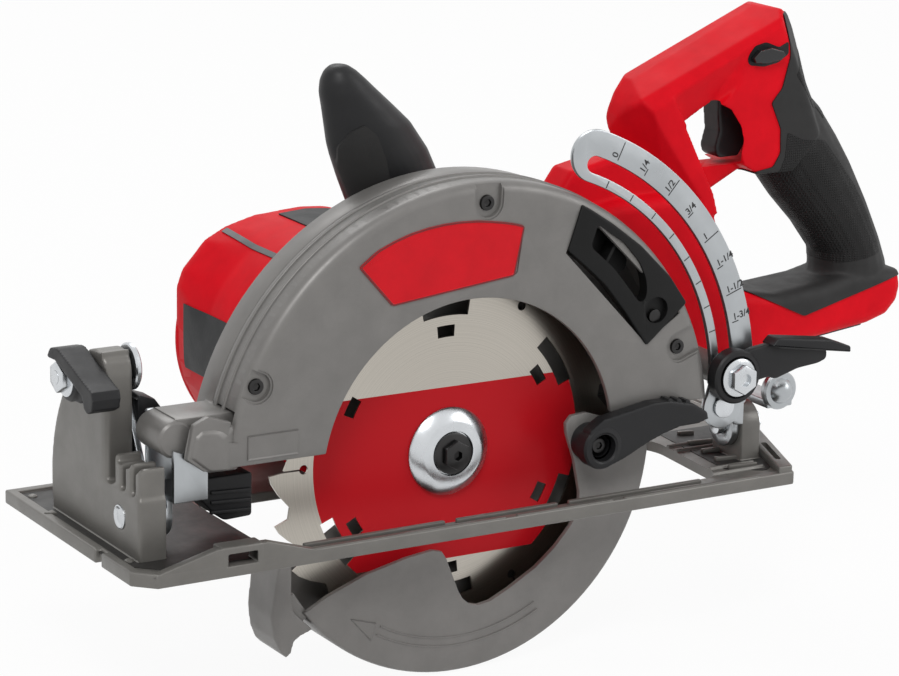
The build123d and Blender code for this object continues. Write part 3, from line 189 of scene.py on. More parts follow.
# brushed steel in rings round the arbor, with one plain printed band
bladeLook = {
    "steel": (0.54, 0.505, 0.45), "dark": 0.74, "rings": 2600, "sheen": (0.24, 0.36), "brush": (0.15, 0.00001),
    "ink": (0.5, 0.008, 0.014), "inkRadius": 70, "inkTop": 30.4, "inkLow": -52, "face": -30,
}
bladeSteel, tree, shader, where = newFinish("bladeSteel", bladeLook["steel"], Anisotropic=0.6,
                                            Specular_IOR_Level=0.12)
centre = addNode(tree, "ShaderNodeMapping", Location=(0, 0, -arbor[1] * mm))
flat = addNode(tree, "ShaderNodeVectorMath", operation="MULTIPLY")
flat.inputs[1].default_value = (1, 0, 1)
radius = addNode(tree, "ShaderNodeVectorMath", operation="LENGTH")
axes = tree.nodes.new("ShaderNodeSeparateXYZ")
rings = addNode(tree, "ShaderNodeTexNoise", noise_dimensions="1D", Scale=bladeLook["rings"], Detail=5,
                Roughness=0.7)
wire(tree, (where, centre.inputs["Vector"]), (centre.outputs["Vector"], flat.inputs[0]),
     (centre.outputs["Vector"], axes.inputs[0]), (flat.outputs[0], radius.inputs[0]),
     (radius.outputs["Value"], rings.inputs["W"]))
brushed = rings.outputs["Fac"]
inked = None
for source, test, limit in [(radius.outputs["Value"], "LESS_THAN", "inkRadius"),
                            (axes.outputs["Z"], "LESS_THAN", "inkTop"),
                            (axes.outputs["Z"], "GREATER_THAN", "inkLow"),
                            (axes.outputs["Y"], "LESS_THAN", "face")]:
    inside = addNode(tree, "ShaderNodeMath", operation=test)
    inside.inputs[1].default_value = bladeLook[limit] * mm
    wire(tree, (source, inside.inputs[0]))
    inked = combine(tree, "MULTIPLY", inked, inside.outputs[0]) if inked else inside.outputs[0]
coat = addNode(tree, "ShaderNodeMix", data_type="RGBA")
bare, ink, coated = coat.inputs[6], coat.inputs[7], coat.outputs[2]  # the colour sockets of the mix
ink.default_value = (*bladeLook["ink"], 1)
shade = rampOf(tree, brushed, [c * bladeLook["dark"] for c in bladeLook["steel"]], bladeLook["steel"])
around = addNode(tree, "ShaderNodeTangent", direction_type="RADIAL", axis="Y")
wire(tree, (inked, coat.inputs["Factor"]), (shade, bare), (coated, shader.inputs["Base Color"]),
     (spanOf(tree, inked, 1.0, 0.0), shader.inputs["Metallic"]),
     (spanOf(tree, brushed, *bladeLook["sheen"]), shader.inputs["Roughness"]),
     (around.outputs["Tangent"], shader.inputs["Tangent"]))
bumpOf(tree, shader, brushed, *bladeLook["brush"])

# the nodes inside, which no piece stands for
finishOf = {
    blackPlastic: ["switch_module", "control_module", "cooling_fan"],
    zinc: ["bevel_clamp_bolt", "depth_clamp_bolt", "inner_flange"],
    turnedSteel: ["spindle", "drive_gear", "motor_pinion", "rotor_shaft", "spindle_bearing_front", "guard_spring",
        "spindle_bearing_rear", "rotor_bearing_front", "rotor_bearing_rear"],
    lamination: ["stator", "rotor_core"],
    brass: ["battery_terminals"],
}
for mat, names in finishOf.items():
    for name in names:
        cad[name].data.materials.clear()
        cad[name].data.materials.append(mat)
print("finishes on the nodes")


# modelling helpers: a flat outline lies across one axis and is pushed along it
def spot(axis, u, v, depth):
    return Vector({"x": (depth, u, v), "y": (u, depth, v), "z": (u, v, depth)}[axis]) * mm


def stand(axis, place):
    # carries a shape made along y to its place along any axis
    turn = {"x": (-90, "Z"), "y": (0, "Y"), "z": (90, "X")}[axis]
    return Matrix.Translation(spot(axis, *place, 0)) @ Matrix.Rotation(math.radians(turn[0]), 4, turn[1])


def polar(middle, r, angle):
    return middle[0] + r * math.cos(math.radians(angle)), middle[1] + r * math.sin(math.radians(angle))


def barOutline(u0, u1, v, half, lean=0):
    return [(u0, v - half), (u1, v - half + lean), (u1, v + half + lean), (u0, v + half)]


def nearest(faces):
    return min(faces, key=lambda f: f.calc_center_median().y)


def bevelEdges(bm, edges, width, steps):
    bmesh.ops.bevel(bm, geom=edges, offset=width * mm, offset_type="OFFSET", segments=steps, profile=0.5,
                    affect="EDGES", clamp_overlap=False, material=-1)


def plate(bm, axis, outline, low, high, corner=0, edge=0, steps=3):
    ring = [bm.verts.new(spot(axis, u, v, low)) for u, v in outline]
    face = bm.faces.new(ring)
    if corner:
        rounded = bmesh.ops.bevel(bm, geom=ring, offset=corner * mm, offset_type="OFFSET", segments=5, profile=0.5,
                                  affect="VERTICES", material=-1)
        face = max((f for v in rounded["verts"] for f in v.link_faces), key=lambda f: f.calc_area())
    pushed = bmesh.ops.extrude_face_region(bm, geom=[face])["geom"]
    top = [v for v in pushed if isinstance(v, bmesh.types.BMVert)]
    bmesh.ops.translate(bm, verts=top, vec=spot(axis, 0, 0, high - low))
    shell = list({f for v in top for f in v.link_faces} | {face})
    bmesh.ops.recalc_face_normals(bm, faces=shell)
    if edge:
        rims = [e for f in shell if len(f.verts) > 4 or f is face for e in f.edges]
        bevelEdges(bm, list(set(rims)), edge, steps)


def hull(bm, points):
    bmesh.ops.convex_hull(bm, input=[bm.verts.new(Vector(p) * mm) for p in points])


def stadium(bm, axis, start, end, r, low, high):
    # a round-ended bar between two points
    rims = []
    for place in (start, end):
        for depth in (low, high):
            ring = bmesh.ops.create_circle(bm, segments=24, radius=r * mm)["verts"]
            lay = Matrix.Translation((0, depth * mm, 0)) @ Matrix.Rotation(math.radians(90), 4, "X")
            bmesh.ops.transform(bm, matrix=stand(axis, place) @ lay, verts=ring)
            rims += ring
    bmesh.ops.convex_hull(bm, input=rims)
    bmesh.ops.delete(bm, geom=[v for v in rims if v.is_valid and not v.link_faces], context="VERTS")
    dropLooseEdges(bm)


def dropLooseEdges(bm):
    bmesh.ops.delete(bm, geom=[e for e in bm.edges if not e.link_faces], context="EDGES")


def shave(bm, place, facing):
    # a flat facet: what stands beyond it goes
    made = bmesh.ops.bisect_plane(bm, geom=bm.verts[:] + bm.edges[:] + bm.faces[:], plane_co=Vector(place) * mm,
                                  plane_no=Vector(facing).normalized(), clear_outer=True)
    bmesh.ops.holes_fill(bm, edges=[e for e in made["geom_cut"] if isinstance(e, bmesh.types.BMEdge)], sides=0)


def loft(bm, y, rings, sides=20):
    # each ring: middle x and z, half length, half thickness, tilt of the length in the xz plane
    edges = []
    for x, z, a, b, tilt in rings:
        ring = bmesh.ops.create_circle(bm, segments=sides, radius=1)["verts"]
        turn = Matrix.Rotation(math.radians(-tilt), 4, "Y") @ Matrix.Diagonal((a * mm, b * mm, 1, 1))
        bmesh.ops.transform(bm, matrix=Matrix.Translation(Vector((x, y, z)) * mm) @ turn, verts=ring)
        edges += [e for v in ring for e in v.link_edges]
    edges = list(set(edges))
    bmesh.ops.bridge_loops(bm, edges=edges)
    bmesh.ops.holes_fill(bm, edges=[e for e in edges if e.is_boundary], sides=0)
    bmesh.ops.recalc_face_normals(bm, faces=bm.faces)


def turned(bm, axis, place, profile, closed=False, start=0, sweep=360, steps=48):
    # a profile of (radius, height) points goes round an axis; a part turn has flat ends
    old = set(bm.verts)
    chain = [bm.verts.new((r * mm, h * mm, 0)) for r, h in profile]
    links = list(zip(chain, chain[1:])) + ([(chain[-1], chain[0])] if closed or sweep < 360 else [])
    geom = chain + [bm.edges.new(pair) for pair in links]
    if sweep < 360:
        geom.append(bm.faces.new(chain))
    bmesh.ops.rotate(bm, verts=chain, cent=(0, 0, 0), matrix=Matrix.Rotation(math.radians(-start), 3, "Y"))
    bmesh.ops.spin(bm, geom=geom, cent=(0, 0, 0), axis=(0, -1, 0), angle=math.radians(sweep), steps=steps,
                   use_merge=sweep >= 360)
    bmesh.ops.remove_doubles(bm, verts=[v for v in bm.verts if v not in old], dist=0.002 * mm)
    fresh = [v for v in bm.verts if v not in old]
    bmesh.ops.transform(bm, matrix=stand(axis, place), verts=fresh)
    faces = list({f for v in fresh for f in v.link_faces})
    if sweep < 360:
        bmesh.ops.holes_fill(bm, edges=[e for f in faces for e in f.edges if e.is_boundary], sides=0)
        faces = list({f for v in fresh for f in v.link_faces})
    bmesh.ops.recalc_face_normals(bm, faces=faces)


def rod(bm, axis, place, r, low, high, steps=24):
    turned(bm, axis, place, [(0, low), (r, low), (r, high), (0, high)], steps=steps)


def hexBar(bm, axis, place, flats, low, high, edge=0.4):
    r = flats / 2 / math.cos(math.pi / 6) * mm
    made = bmesh.ops.create_cone(bm, cap_ends=True, segments=6, radius1=r, radius2=r,
                                 depth=(high - low) * mm)["verts"]
    lay = Matrix.Translation((0, (low + high) / 2 * mm, 0)) @ Matrix.Rotation(math.radians(-90), 4, "X")
    bmesh.ops.transform(bm, matrix=stand(axis, place) @ lay, verts=made)
    bevelEdges(bm, list({e for v in made for e in v.link_edges}), edge, 2)


def sink(bm, face, border, depth):
    # the middle of a near face goes in and leaves a border
    bmesh.ops.inset_region(bm, faces=[face], thickness=border * mm, depth=0)
    bmesh.ops.translate(bm, verts=face.verts, vec=(0, depth * mm, 0))


def newObject(bm, name):
    data = bpy.data.meshes.new(name)
    bm.to_mesh(data)
    bm.free()
    return addObject(name, data)


def form(name, make, *values, **options):
    # one shape as an object of its own
    bm = bmesh.new()
    make(bm, *values, **options)
    return newObject(bm, name)


def discard(obj):
    data = obj.data
    bpy.data.objects.remove(obj)
    bpy.data.meshes.remove(data)


def takeIn(bm, *parts):
    # the parts' meshes go into the bmesh
    for part in parts:
        bm.from_mesh(part.data)
        discard(part)
    return bm


def settle(obj):
    # the modifiers become the mesh
    bpy.context.view_layer.update()
    graph = bpy.context.evaluated_depsgraph_get()
    old, obj.data = obj.data, bpy.data.meshes.new_from_object(obj.evaluated_get(graph))
    obj.data.name = obj.name
    obj.modifiers.clear()
    bpy.data.meshes.remove(old)


def meltTogether(obj, voxel, rounds):
    # overlapping solids become one moulded form with soft joins
    remesh = obj.modifiers.new("remesh", "REMESH")
    remesh.mode = "VOXEL"
    remesh.voxel_size = voxel * mm
    smooth = obj.modifiers.new("smooth", "SMOOTH")
    smooth.factor = 0.5
    smooth.iterations = rounds
    settle(obj)
    return obj


def cut(obj, *cutters, operation="DIFFERENCE", crossing=False):
    for cutter in cutters:
        mod = obj.modifiers.new("cut", "BOOLEAN")
        mod.operation = operation
        mod.object = cutter
        mod.solver = "EXACT"
        mod.use_self = crossing
    settle(obj)
    for cutter in cutters:
        discard(cutter)


def overmould(base, name, outline, low, high, lift, corner=1.2):
    # a skin over part of a moulded form
    skin = addObject(name, base.data.copy())
    swell = skin.modifiers.new("swell", "DISPLACE")
    swell.strength = lift * mm
    swell.mid_level = 0
    settle(skin)
    cut(skin, form("area", plate, "y", outline, low, high, corner=corner), operation="INTERSECT")
    return skin


def dress(obj, body, mat, *nodes, slot=None, sharp=32):
    bm = bmesh.new()
    bm.from_mesh(obj.data)
    for f in bm.faces:
        f.smooth = True
    for e in bm.edges:
        e.smooth = len(e.link_faces) != 2 or e.calc_face_angle() < math.radians(sharp)
    bm.to_mesh(obj.data)
    bm.free()
    obj.data.materials.clear()
    obj.data.materials.append(mat)
    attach(obj, body)
    if nodes:
        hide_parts(*nodes)
    return obj


def cadCopy(node):
    bm = bmesh.new()
    bm.from_mesh(cad[node].data)
    bmesh.ops.remove_doubles(bm, verts=bm.verts, dist=0.002 * mm)
    return bm


def mergeFlats(bm):
    bmesh.ops.dissolve_limit(bm, angle_limit=math.radians(0.5), verts=bm.verts, edges=bm.edges)


def roundEdges(bm, width, steps=2, sharp=25):
    mergeFlats(bm)
    rims = [e for e in bm.edges if len(e.link_faces) == 2 and e.calc_face_angle() > math.radians(sharp)]
    bevelEdges(bm, rims, width, steps)
    bmesh.ops.triangulate(bm, faces=[f for f in bm.faces if len(f.verts) > 4], ngon_method="EAR_CLIP")


def softCopy(node, name, width, steps=2):
    # a copy of a CAD form with rounded edges
    bm = cadCopy(node)
    roundEdges(bm, width, steps)
    return newObject(bm, name)


def soften(node, name, body, mat, width):
    dress(softCopy(node, name, width), body, mat, node)


# rear handle: one faceted form, with a soft pad and dotted panels over it
handle = {
    "middle": 9, "low": -10, "high": 28, "voxel": 0.98, "rounds": 7, "padLift": 0.7, "panelLift": 0.85,
    "padReach": 20,
    "top": [(114.6, 122), (114.6, 169), (116, 174), (118.8, 179), (123.6, 185), (193, 216.6), (201, 216),
        (207, 212), (210.5, 206), (212.5, 197), (214, 180), (222, 168), (224, 158), (205, 138), (184, 138),
        (176, 142.5), (174, 148.3), (175.2, 155), (173.2, 162), (167, 170.6), (159.6, 174.4), (141.5, 164),
        (152, 143.5), (159, 130), (162, 120)],
    # a point on each facet and the way it faces
    "facets": [((123.3, -10, 169), (-0.549, -0.742, -0.386)), ((124, -10, 168.1), (-0.831, -0.401, -0.386)),
        ((123.6, 12, 185), (-0.404, -0.225, 0.887)), ((150.6, -8.2, 190.2), (-0.27, -0.8, 0.54)),
        ((212, 3, 200), (0.7, -0.65, 0.3)), ((123.3, 28, 169), (-0.549, 0.742, -0.386)),
        ((123.6, 21, 185), (-0.36, 0.42, 0.83)), ((124.8, 22, 183.6), (-0.677, 0.558, 0.48)),
        ((120.3, 22, 177.1), (-0.759, 0.575, 0.307)), ((117.3, 22, 169.9), (-0.804, 0.573, 0.162)),
        ((116, 22, 163.2), (-0.837, 0.54, -0.081))],
    "scallop": [(132, -10.1, 181), (176, -10.1, 199), (172, -10.1, 182), (143.6, -3.5, 162.5), (158, -4, 171)],
    "scallopOut": -16,
    # front, foot, brace and neck: outline, half thickness, edge and its steps
    "blocks": [([(62, 58), (62, 112), (84, 127), (112, 131), (140, 131), (159, 128), (166, 108), (178, 83),
        (186, 60), (130, 48)], 19, 6, 4), ([(130, 48), (150, 82), (180, 78.5), (201, 75), (230, 77.5), (250, 82),
        (276.5, 80), (278.2, 72), (276.5, 64.3), (270, 57.5), (258, 54), (193, 46.5)], 19, 6, 4),
        ([(156, 127), (162.3, 128.4), (183.8, 139.3), (190, 141), (188, 147), (172, 146), (156, 140.6)], 8, 2, 3),
        ([(62, 100), (62, 115.6), (84, 146), (112, 152), (140, 150), (152, 130), (140, 110)], 10, 3, 3)],
    "rings": [(200, 168, 19, 16.5, 40), (211.5, 155.5, 21, 17.5, 27), (219.4, 142.7, 23, 18, 19.6),
        (229.5, 128.8, 21.9, 18, 20.7), (242.1, 111.3, 19.5, 17.8, 14), (252.7, 93.8, 17.5, 17.6, 9),
        (255.5, 83.5, 19.5, 18, 1.5), (255, 72, 21, 18.2, 2)],
    "screws": [(74, 72), (74, 104), (131.5, 175), (187, 203), (243, 107), (264, 78), (140, 60)], "well": 3.9,
    "wellFloor": 23.8, "screwEdge": 0.3, "moved": [((128, 178), (3.5, -3)), ((188, 207), (-1, -4))],
    "movedReach": 6, "slotLow": 1.3,
    "slot": [(158, 176), (174, 176), (183, 170), (188.6, 160.5), (190.8, 151), (189, 144), (184.5, 141.2),
        (158, 141.2)],
    "flare": [(158, 174.2), (166.8, 170.4), (173, 162), (175, 155), (173.8, 148.4), (173, 145), (158, 145)],
    "pad": [(199, 214), (200.5, 194), (196.5, 179), (190.5, 172), (196.5, 159), (197, 147), (193, 140.5),
        (183, 139), (180, 132), (200, 118), (212, 98), (220, 86), (200, 84), (184, 83), (181, 80), (216, 63.5),
        (272, 77.5), (290, 80), (290, 214)],
    "panels": [[(200.6, 157), (210.1, 152.5), (225.4, 150.7), (246, 127), (256, 112), (264, 90.4), (240, 86.5),
        (222, 89.5), (216.5, 101.5), (199.5, 119.5), (189.5, 134), (196.8, 137.5), (199.8, 144.8)],
        [(204.5, 184.8), (218.6, 167), (223.4, 166), (228, 160), (234, 165), (222, 184), (214, 196)]],
}
middle, low, high = handle["middle"], handle["low"], handle["high"]
bm = bmesh.new()
plate(bm, "y", handle["top"], low, high)
for place, facing in handle["facets"]:
    shave(bm, place, facing)
shell = newObject(bm, "handleShell")
hollow = handle["scallop"] + [(x, handle["scallopOut"], z) for x, y, z in handle["scallop"]]
scallops = [form("scallop", hull, [(x, middle + side * (y - middle), z) for x, y, z in hollow]) for side in (1, -1)]
cut(shell, *scallops)
bm = takeIn(bmesh.new(), shell)
for outline, half, edge, steps in handle["blocks"]:
    plate(bm, "y", outline, middle - half, middle + half, edge=edge, steps=steps)
loft(bm, middle, handle["rings"])
shell = meltTogether(newObject(bm, "handleShell"), handle["voxel"], handle["rounds"])
reach = (low - handle["padReach"], high + handle["padReach"])
pad = overmould(shell, "gripPad", handle["pad"], *reach, handle["padLift"])
dress(pad, "saw_body", rubber, "grip_near", "grip_far")
for k, outline in enumerate(handle["panels"]):
    panel = overmould(shell, "gripPanel" + str(k + 1), outline, *reach, handle["panelLift"])
    dress(panel, "saw_body", dottedRubber)
bm = bmesh.new()
for place in handle["screws"]:
    rod(bm, "y", place, handle["well"], handle["wellFloor"], high + 3)
wells = newObject(bm, "screwWells")
slot = [(x, y, z) for y in (handle["slotLow"], high + 2) for x, z in handle["slot"]]
cut(shell, wells, form("triggerSlot", hull, slot + [(x, low, z) for x, z in handle["flare"]]))
dress(shell, "saw_body", redPlastic, "handle_shell_near", "handle_shell_far")
bm = cadCopy("handle_screws")
roundEdges(bm, handle["screwEdge"])
for (x, z), (dx, dz) in handle["moved"]:
    near = [v for v in bm.verts if math.hypot(v.co.x - x * mm, v.co.z - z * mm) < handle["movedReach"] * mm]
    bmesh.ops.translate(bm, verts=near, vec=(dx * mm, 0, dz * mm))
dress(newObject(bm, "handleScrews"), "saw_body", blackSteel, "handle_screws")
print("rear handle")


# front handle: oval sections, with a raised oval on its near side
foregrip = {
    "middle": 8, "sides": 32, "voxel": 1.1, "rounds": 5, "lift": 0.9, "ovalLow": -20, "ovalHigh": 6,
    "rings": [(-8, 112, 23, 14, 0), (-8.2, 137.5, 23.2, 14, 0), (-12.2, 152.3, 25.4, 14, 0),
        (-16.7, 163, 24.8, 13.6, 0), (-19.5, 168.5, 23.6, 13.3, 0), (-22.8, 176, 21.5, 12.9, 0),
        (-28.4, 185, 17.3, 12, 0), (-33, 192, 14, 11, 0), (-35.7, 197.4, 10.8, 9.5, 0), (-37.2, 201.6, 7.4, 7.2, 0),
        (-37.8, 204.3, 3.6, 4, 0)],
    "oval": [(-31, 178), (-37, 175), (-41.2, 168), (-40, 158), (-35, 146), (-28, 130), (-18, 130), (-17.5, 148),
        (-20.5, 162), (-25, 173)],
}
fore = form("frontHandle", loft, foregrip["middle"], foregrip["rings"], sides=foregrip["sides"])
meltTogether(fore, foregrip["voxel"], foregrip["rounds"])
oval = overmould(fore, "frontOval", foregrip["oval"], foregrip["ovalLow"], foregrip["ovalHigh"], foregrip["lift"])
dress(fore, "saw_body", blackPlastic, "front_handle")
dress(oval, "saw_body", rubber)
print("front handle")


# castings, pressings and small hardware that keep their CAD form, with edges of the last number's width
softForms = [
    ("upper_guard_body", "guardBody", "saw_body", castPaint, 0.8),
    ("gear_case", "gearCase", "saw_body", castPaint, 1.2),
    ("guard_screws", "guardScrews", "saw_body", blackSteel, 0.4),
    ("chip_chute_screw", "chuteScrew", "saw_body", blackSteel, 0.4),
    ("guard_lever_screw", "leverScrew", "lower_guard", blackSteel, 0.3),
    ("motor_housing", "motorHousing", "saw_body", redPlastic, 1.0),
    ("bevel_quadrant", "bevelQuadrant", "bevel_carriage", zincPlate, 0.5),
    ("rear_pivot_bracket", "rearBracket", "bevel_carriage", zincPlate, 0.5),
    ("bevel_stop_block", "stopBlock", "bevel_carriage", blackPlastic, 1.0),
    ("battery_seat", "batterySeat", "saw_body", blackPlastic, 0.6),
    ("rear_bevel_pivot", "rearPivot", "base", zinc, 0.4),
    ("link_pin", "linkPin", "bevel_carriage", zinc, 0.3),
    ("depth_clamp_washer", "clampWasher", "saw_body", zinc, 0.3),
    ("rafter_hook_pin", "hookPin", "saw_body", zinc, 0.4),
    ("spindle_lock", "spindleLock", "spindle_lock", blackSteel, 0.4),
]
for row in softForms:
    soften(*row)

# front bevel pivot: its end is dished and sits flush in the upright
pivot = {
    "axis": (-30, 20.6), "flush": -164.6,
    "dish": [(0, -163.9), (2.4, -164.1), (4, -164.9), (4.8, -165.5), (5.4, -165.3), (5.6, -164.4), (5.6, -160),
        (0, -160)],
}
bm = cadCopy("front_bevel_pivot")
shave(bm, (pivot["flush"], 0, 0), (-1, 0, 0))
turned(bm, "x", pivot["axis"], pivot["dish"], steps=40)
dress(newObject(bm, "frontPivot"), "base", zinc, "front_bevel_pivot")

# front hinge: the near ear dips below the barrel, and a cap closes the barrel's end
hinge = {
    "dip": [(-156, 57), (-151, 54.4), (-147.5, 52.4), (-143, 50.6), (-136.5, 49), (-125, 49), (-125, 72),
        (-156, 72)],
    "dipLow": -56, "dipHigh": -43.6, "axis": (-145, 56.6),
    "cap": [(0, -46.4), (4, -46.2), (7.2, -45.5), (8.3, -44.4), (8.3, -43.8), (0, -43.8)],
    "pieces": [("front_hinge_bracket", "hingeBracket", zincPlate, 0.6), ("front_hinge_pin", "hingePin", zinc, 0.4)],
}
for node, name, mat, width in hinge["pieces"]:
    piece = softCopy(node, name, width)
    cut(piece, form("dip", plate, "y", hinge["dip"], hinge["dipLow"], hinge["dipHigh"]))
    dress(piece, "bevel_carriage", mat, node)
dress(form("barrelEnd", turned, "y", hinge["axis"], hinge["cap"], steps=40), "saw_body", castPaint)

# depth bracket: its free end and slot reach a little further round
bracket = {
    "middle": (23.65, 46.29), "from": 40, "slotReach": 69.5, "slotBand": (116, 126.4), "edge": 0.7,
    # degrees added, and the degrees they build up over
    "outer": (1.9, 34), "slot": (3.4, 28),
}
bm = cadCopy("depth_bracket")
hub = spot("y", *bracket["middle"], 0)
for v in bm.verts:
    arm = v.co - hub
    angle = math.degrees(math.atan2(arm.z, arm.x))
    inBand = bracket["slotBand"][0] < math.hypot(arm.x, arm.z) / mm < bracket["slotBand"][1]
    turn, span = bracket["slot"] if inBand and angle < bracket["slotReach"] else bracket["outer"]
    share = min(1, max(0, (angle - bracket["from"]) / span))
    bmesh.ops.rotate(bm, verts=[v], cent=hub, matrix=Matrix.Rotation(-math.radians(turn * share), 3, "Y"))
roundEdges(bm, bracket["edge"])
dress(newObject(bm, "depthBracket"), "depth_bracket", zincPlate, "depth_bracket")

# rounded end of the bevel quadrant, and the ribbed black guide under the hinge
under = {
    "end": (-7.2, 81),
    "disc": [(0, -150.4), (9.8, -150.4), (10.5, -149.8), (10.5, -148.2), (9.8, -147.6), (0, -147.6)],
    "guide": [(-131.5, 35.5), (-131.5, 27), (-124, 18.5), (-119, 15), (-105.5, 15.5), (-105.5, 35.5)],
    "guideLow": -40, "guideHigh": -21, "ribs": [19.8, 24.3, 28.8], "ribFrom": -126, "ribTo": -106.5, "ribHalf": 0.8,
    "ribLean": -1, "ribOut": 1.2,
}
roundEnd = form("quadrantEnd", turned, "x", under["end"], under["disc"], steps=40)
dress(roundEnd, "bevel_carriage", zinc, slot="zinc_plate")
bm = bmesh.new()
plate(bm, "y", under["guide"], under["guideLow"], under["guideHigh"], corner=1.5, edge=0.8)
for z in under["ribs"]:
    outline = barOutline(under["ribFrom"], under["ribTo"], z, under["ribHalf"], under["ribLean"])
    plate(bm, "y", outline, under["guideLow"] - under["ribOut"], under["guideLow"] + 1, edge=0.3)
dress(newObject(bm, "underGuide"), "bevel_carriage", blackPlastic)
print("castings and pressings")


# upper guard: broad round on the rim, ridges along it, raised pad round the badge, screw pockets
guard = {
    "middle": (3.5, 29.6), "radius": 128, "face": -52, "edge": 0.6, "rimRound": 5, "from": 9, "sweep": 160,
    "steps": 90, "ridges": [-39, -31.4], "ridgeHalf": 0.8, "ridgeHigh": 0.8, "ridgeSharp": 50,
    "screws": [156, 87, 20], "screwRings": (119.5, 137.5), "pockets": [(7.6, 0.7), (6.6, 2.4)],
    "pad": [(-71, 124), (-59.8, 131.4), (-50.3, 137), (-33.6, 142.4), (-16.8, 145), (0.4, 145), (15.1, 143),
        (28.7, 138.6), (31, 134), (27.4, 112), (-0.7, 106.4), (-46, 101.4)],
    "padLift": 0.9, "padSlope": 3, "padSharp": 12,
    "badge": [(-59.7, 125.4), (-50.6, 132.1), (-42.3, 135.6), (-33.9, 138.2), (-25.5, 139.9), (-17, 140.9),
        (-8.5, 141.2), (0.1, 140.8), (7.4, 139.9), (14.8, 138.7), (20.2, 137.5), (25, 136), (20.2, 113.5),
        (-42.7, 106.3)],
    "badgeMiddle": (-17, 124), "badgeGap": (1.012, 1.025), "badgeCorner": 1.2, "badgeLift": 0.63,
    "badgeBorder": 0.8, "badgeStep": 0.3, "badgeSink": 0.25,
    "frame": [(-114, 45), (-89, 45), (-89, 56), (-114, 56)], "frameWide": 0.9, "frameHigh": 0.5, "frameSink": 0.4,
    "nose": [(-143.8, 48.3), (-142.9, 53.3), (-140.9, 62), (-137, 65), (-129.5, 64.6), (-117, 60.5), (-117, 40.6),
        (-131.6, 40.8)],
    "noseBack": -48.8,
    "noseFace": [(-140.4, 50), (-138.6, 57.5), (-135.5, 59.8), (-130, 59.4), (-126, 56.5), (-124.5, 42.5),
        (-132, 43)],
    "noseFront": -53.2, "noseEdge": 0.7,
}
r, face, rim = guard["radius"], guard["face"], guard["rimRound"]
cover = softCopy("upper_guard_cover", "guardCover", guard["edge"])
corner = [(r + 2, face - 2), (r + 2, face + rim)]
corner += [polar((r - rim, face + rim), rim, -a) for a in (0, 22.5, 45, 67.5, 90)] + [(r - rim, face - 2)]
cutters = [form("rimCorner", turned, "y", guard["middle"], corner, start=guard["from"] - 6, sweep=guard["sweep"] + 6,
                steps=guard["steps"])]
for pocket, depth in guard["pockets"]:
    bm = bmesh.new()
    for angle in guard["screws"]:
        start, end = [polar(arbor, ring, angle) for ring in guard["screwRings"]]
        stadium(bm, "y", start, end, pocket, face - 3, face + depth)
    cutters.append(newObject(bm, "screwPockets"))
cut(cover, *cutters)
dress(cover, "saw_body", castPaint, "upper_guard_cover")

bm = bmesh.new()
half, top = guard["ridgeHalf"], r + guard["ridgeHigh"]
for y in guard["ridges"]:
    ridge = [(r - 0.6, y - half), (r + 0.3, y - half), (top, y - half * 0.4), (top, y + half * 0.4),
             (r + 0.3, y + half), (r - 0.6, y + half)]
    turned(bm, "y", guard["middle"], ridge, start=guard["from"], sweep=guard["sweep"], steps=guard["steps"])
dress(newObject(bm, "rimRidges"), "saw_body", castPaint, sharp=guard["ridgeSharp"])

bm = bmesh.new()
plate(bm, "y", guard["pad"], face - guard["padLift"], face + 0.4, corner=1.5)
front = nearest(bm.faces)
bmesh.ops.inset_region(bm, faces=[front], thickness=guard["padSlope"] * mm, depth=0)
outer = [v for v in bm.verts if v not in front.verts and v.co.y < (face - 0.1) * mm]
bmesh.ops.translate(bm, verts=outer, vec=(0, guard["padLift"] * mm, 0))
pad = newObject(bm, "badgePad")
bm = bmesh.new()
plate(bm, "y", guard["badge"], face - 3, face + 3, corner=guard["badgeCorner"])
middle, (wide, high) = spot("y", *guard["badgeMiddle"], face), guard["badgeGap"]
grow = Matrix.Translation(middle) @ Matrix.Diagonal((wide, 1, high, 1)) @ Matrix.Translation(-middle)
bmesh.ops.transform(bm, matrix=grow, verts=bm.verts)
cut(pad, newObject(bm, "badgeHole"))
dress(pad, "saw_body", castPaint, sharp=guard["padSharp"])

# badge: bare red face inside a thin dark border
bm = bmesh.new()
plate(bm, "y", guard["badge"], face - guard["badgeLift"], face + 0.4, corner=guard["badgeCorner"])
front = nearest(bm.faces)
border = bmesh.ops.inset_region(bm, faces=[front], thickness=guard["badgeBorder"] * mm, depth=0)["faces"]
rim = [tuple(f.calc_center_median()) for f in border]
bmesh.ops.inset_region(bm, faces=[front], thickness=guard["badgeStep"] * mm, depth=-guard["badgeSink"] * mm)
badge = dress(newObject(bm, "badgeFace"), "saw_body", badgeRed, "badge_plate")
badge.data.materials.append(badgeEdge)
for f in badge.data.polygons:
    f.material_index = int(any((Vector(c) - f.center).length < 1e-7 for c in rim))

# bare raised frame and the nose on the front of the guard
bm = bmesh.new()
plate(bm, "y", guard["frame"], face - guard["frameHigh"], face + 0.3)
sink(bm, nearest(bm.faces), guard["frameWide"], guard["frameSink"])
dress(newObject(bm, "bareFrame"), "saw_body", castPaint)
bm = bmesh.new()
nose = [(x, guard["noseBack"], z) for x, z in guard["nose"]]
hull(bm, nose + [(x, guard["noseFront"], z) for x, z in guard["noseFace"]])
roundEdges(bm, guard["noseEdge"], steps=3, sharp=15)
dress(newObject(bm, "guardNose"), "saw_body", castPaint)
print("upper guard")


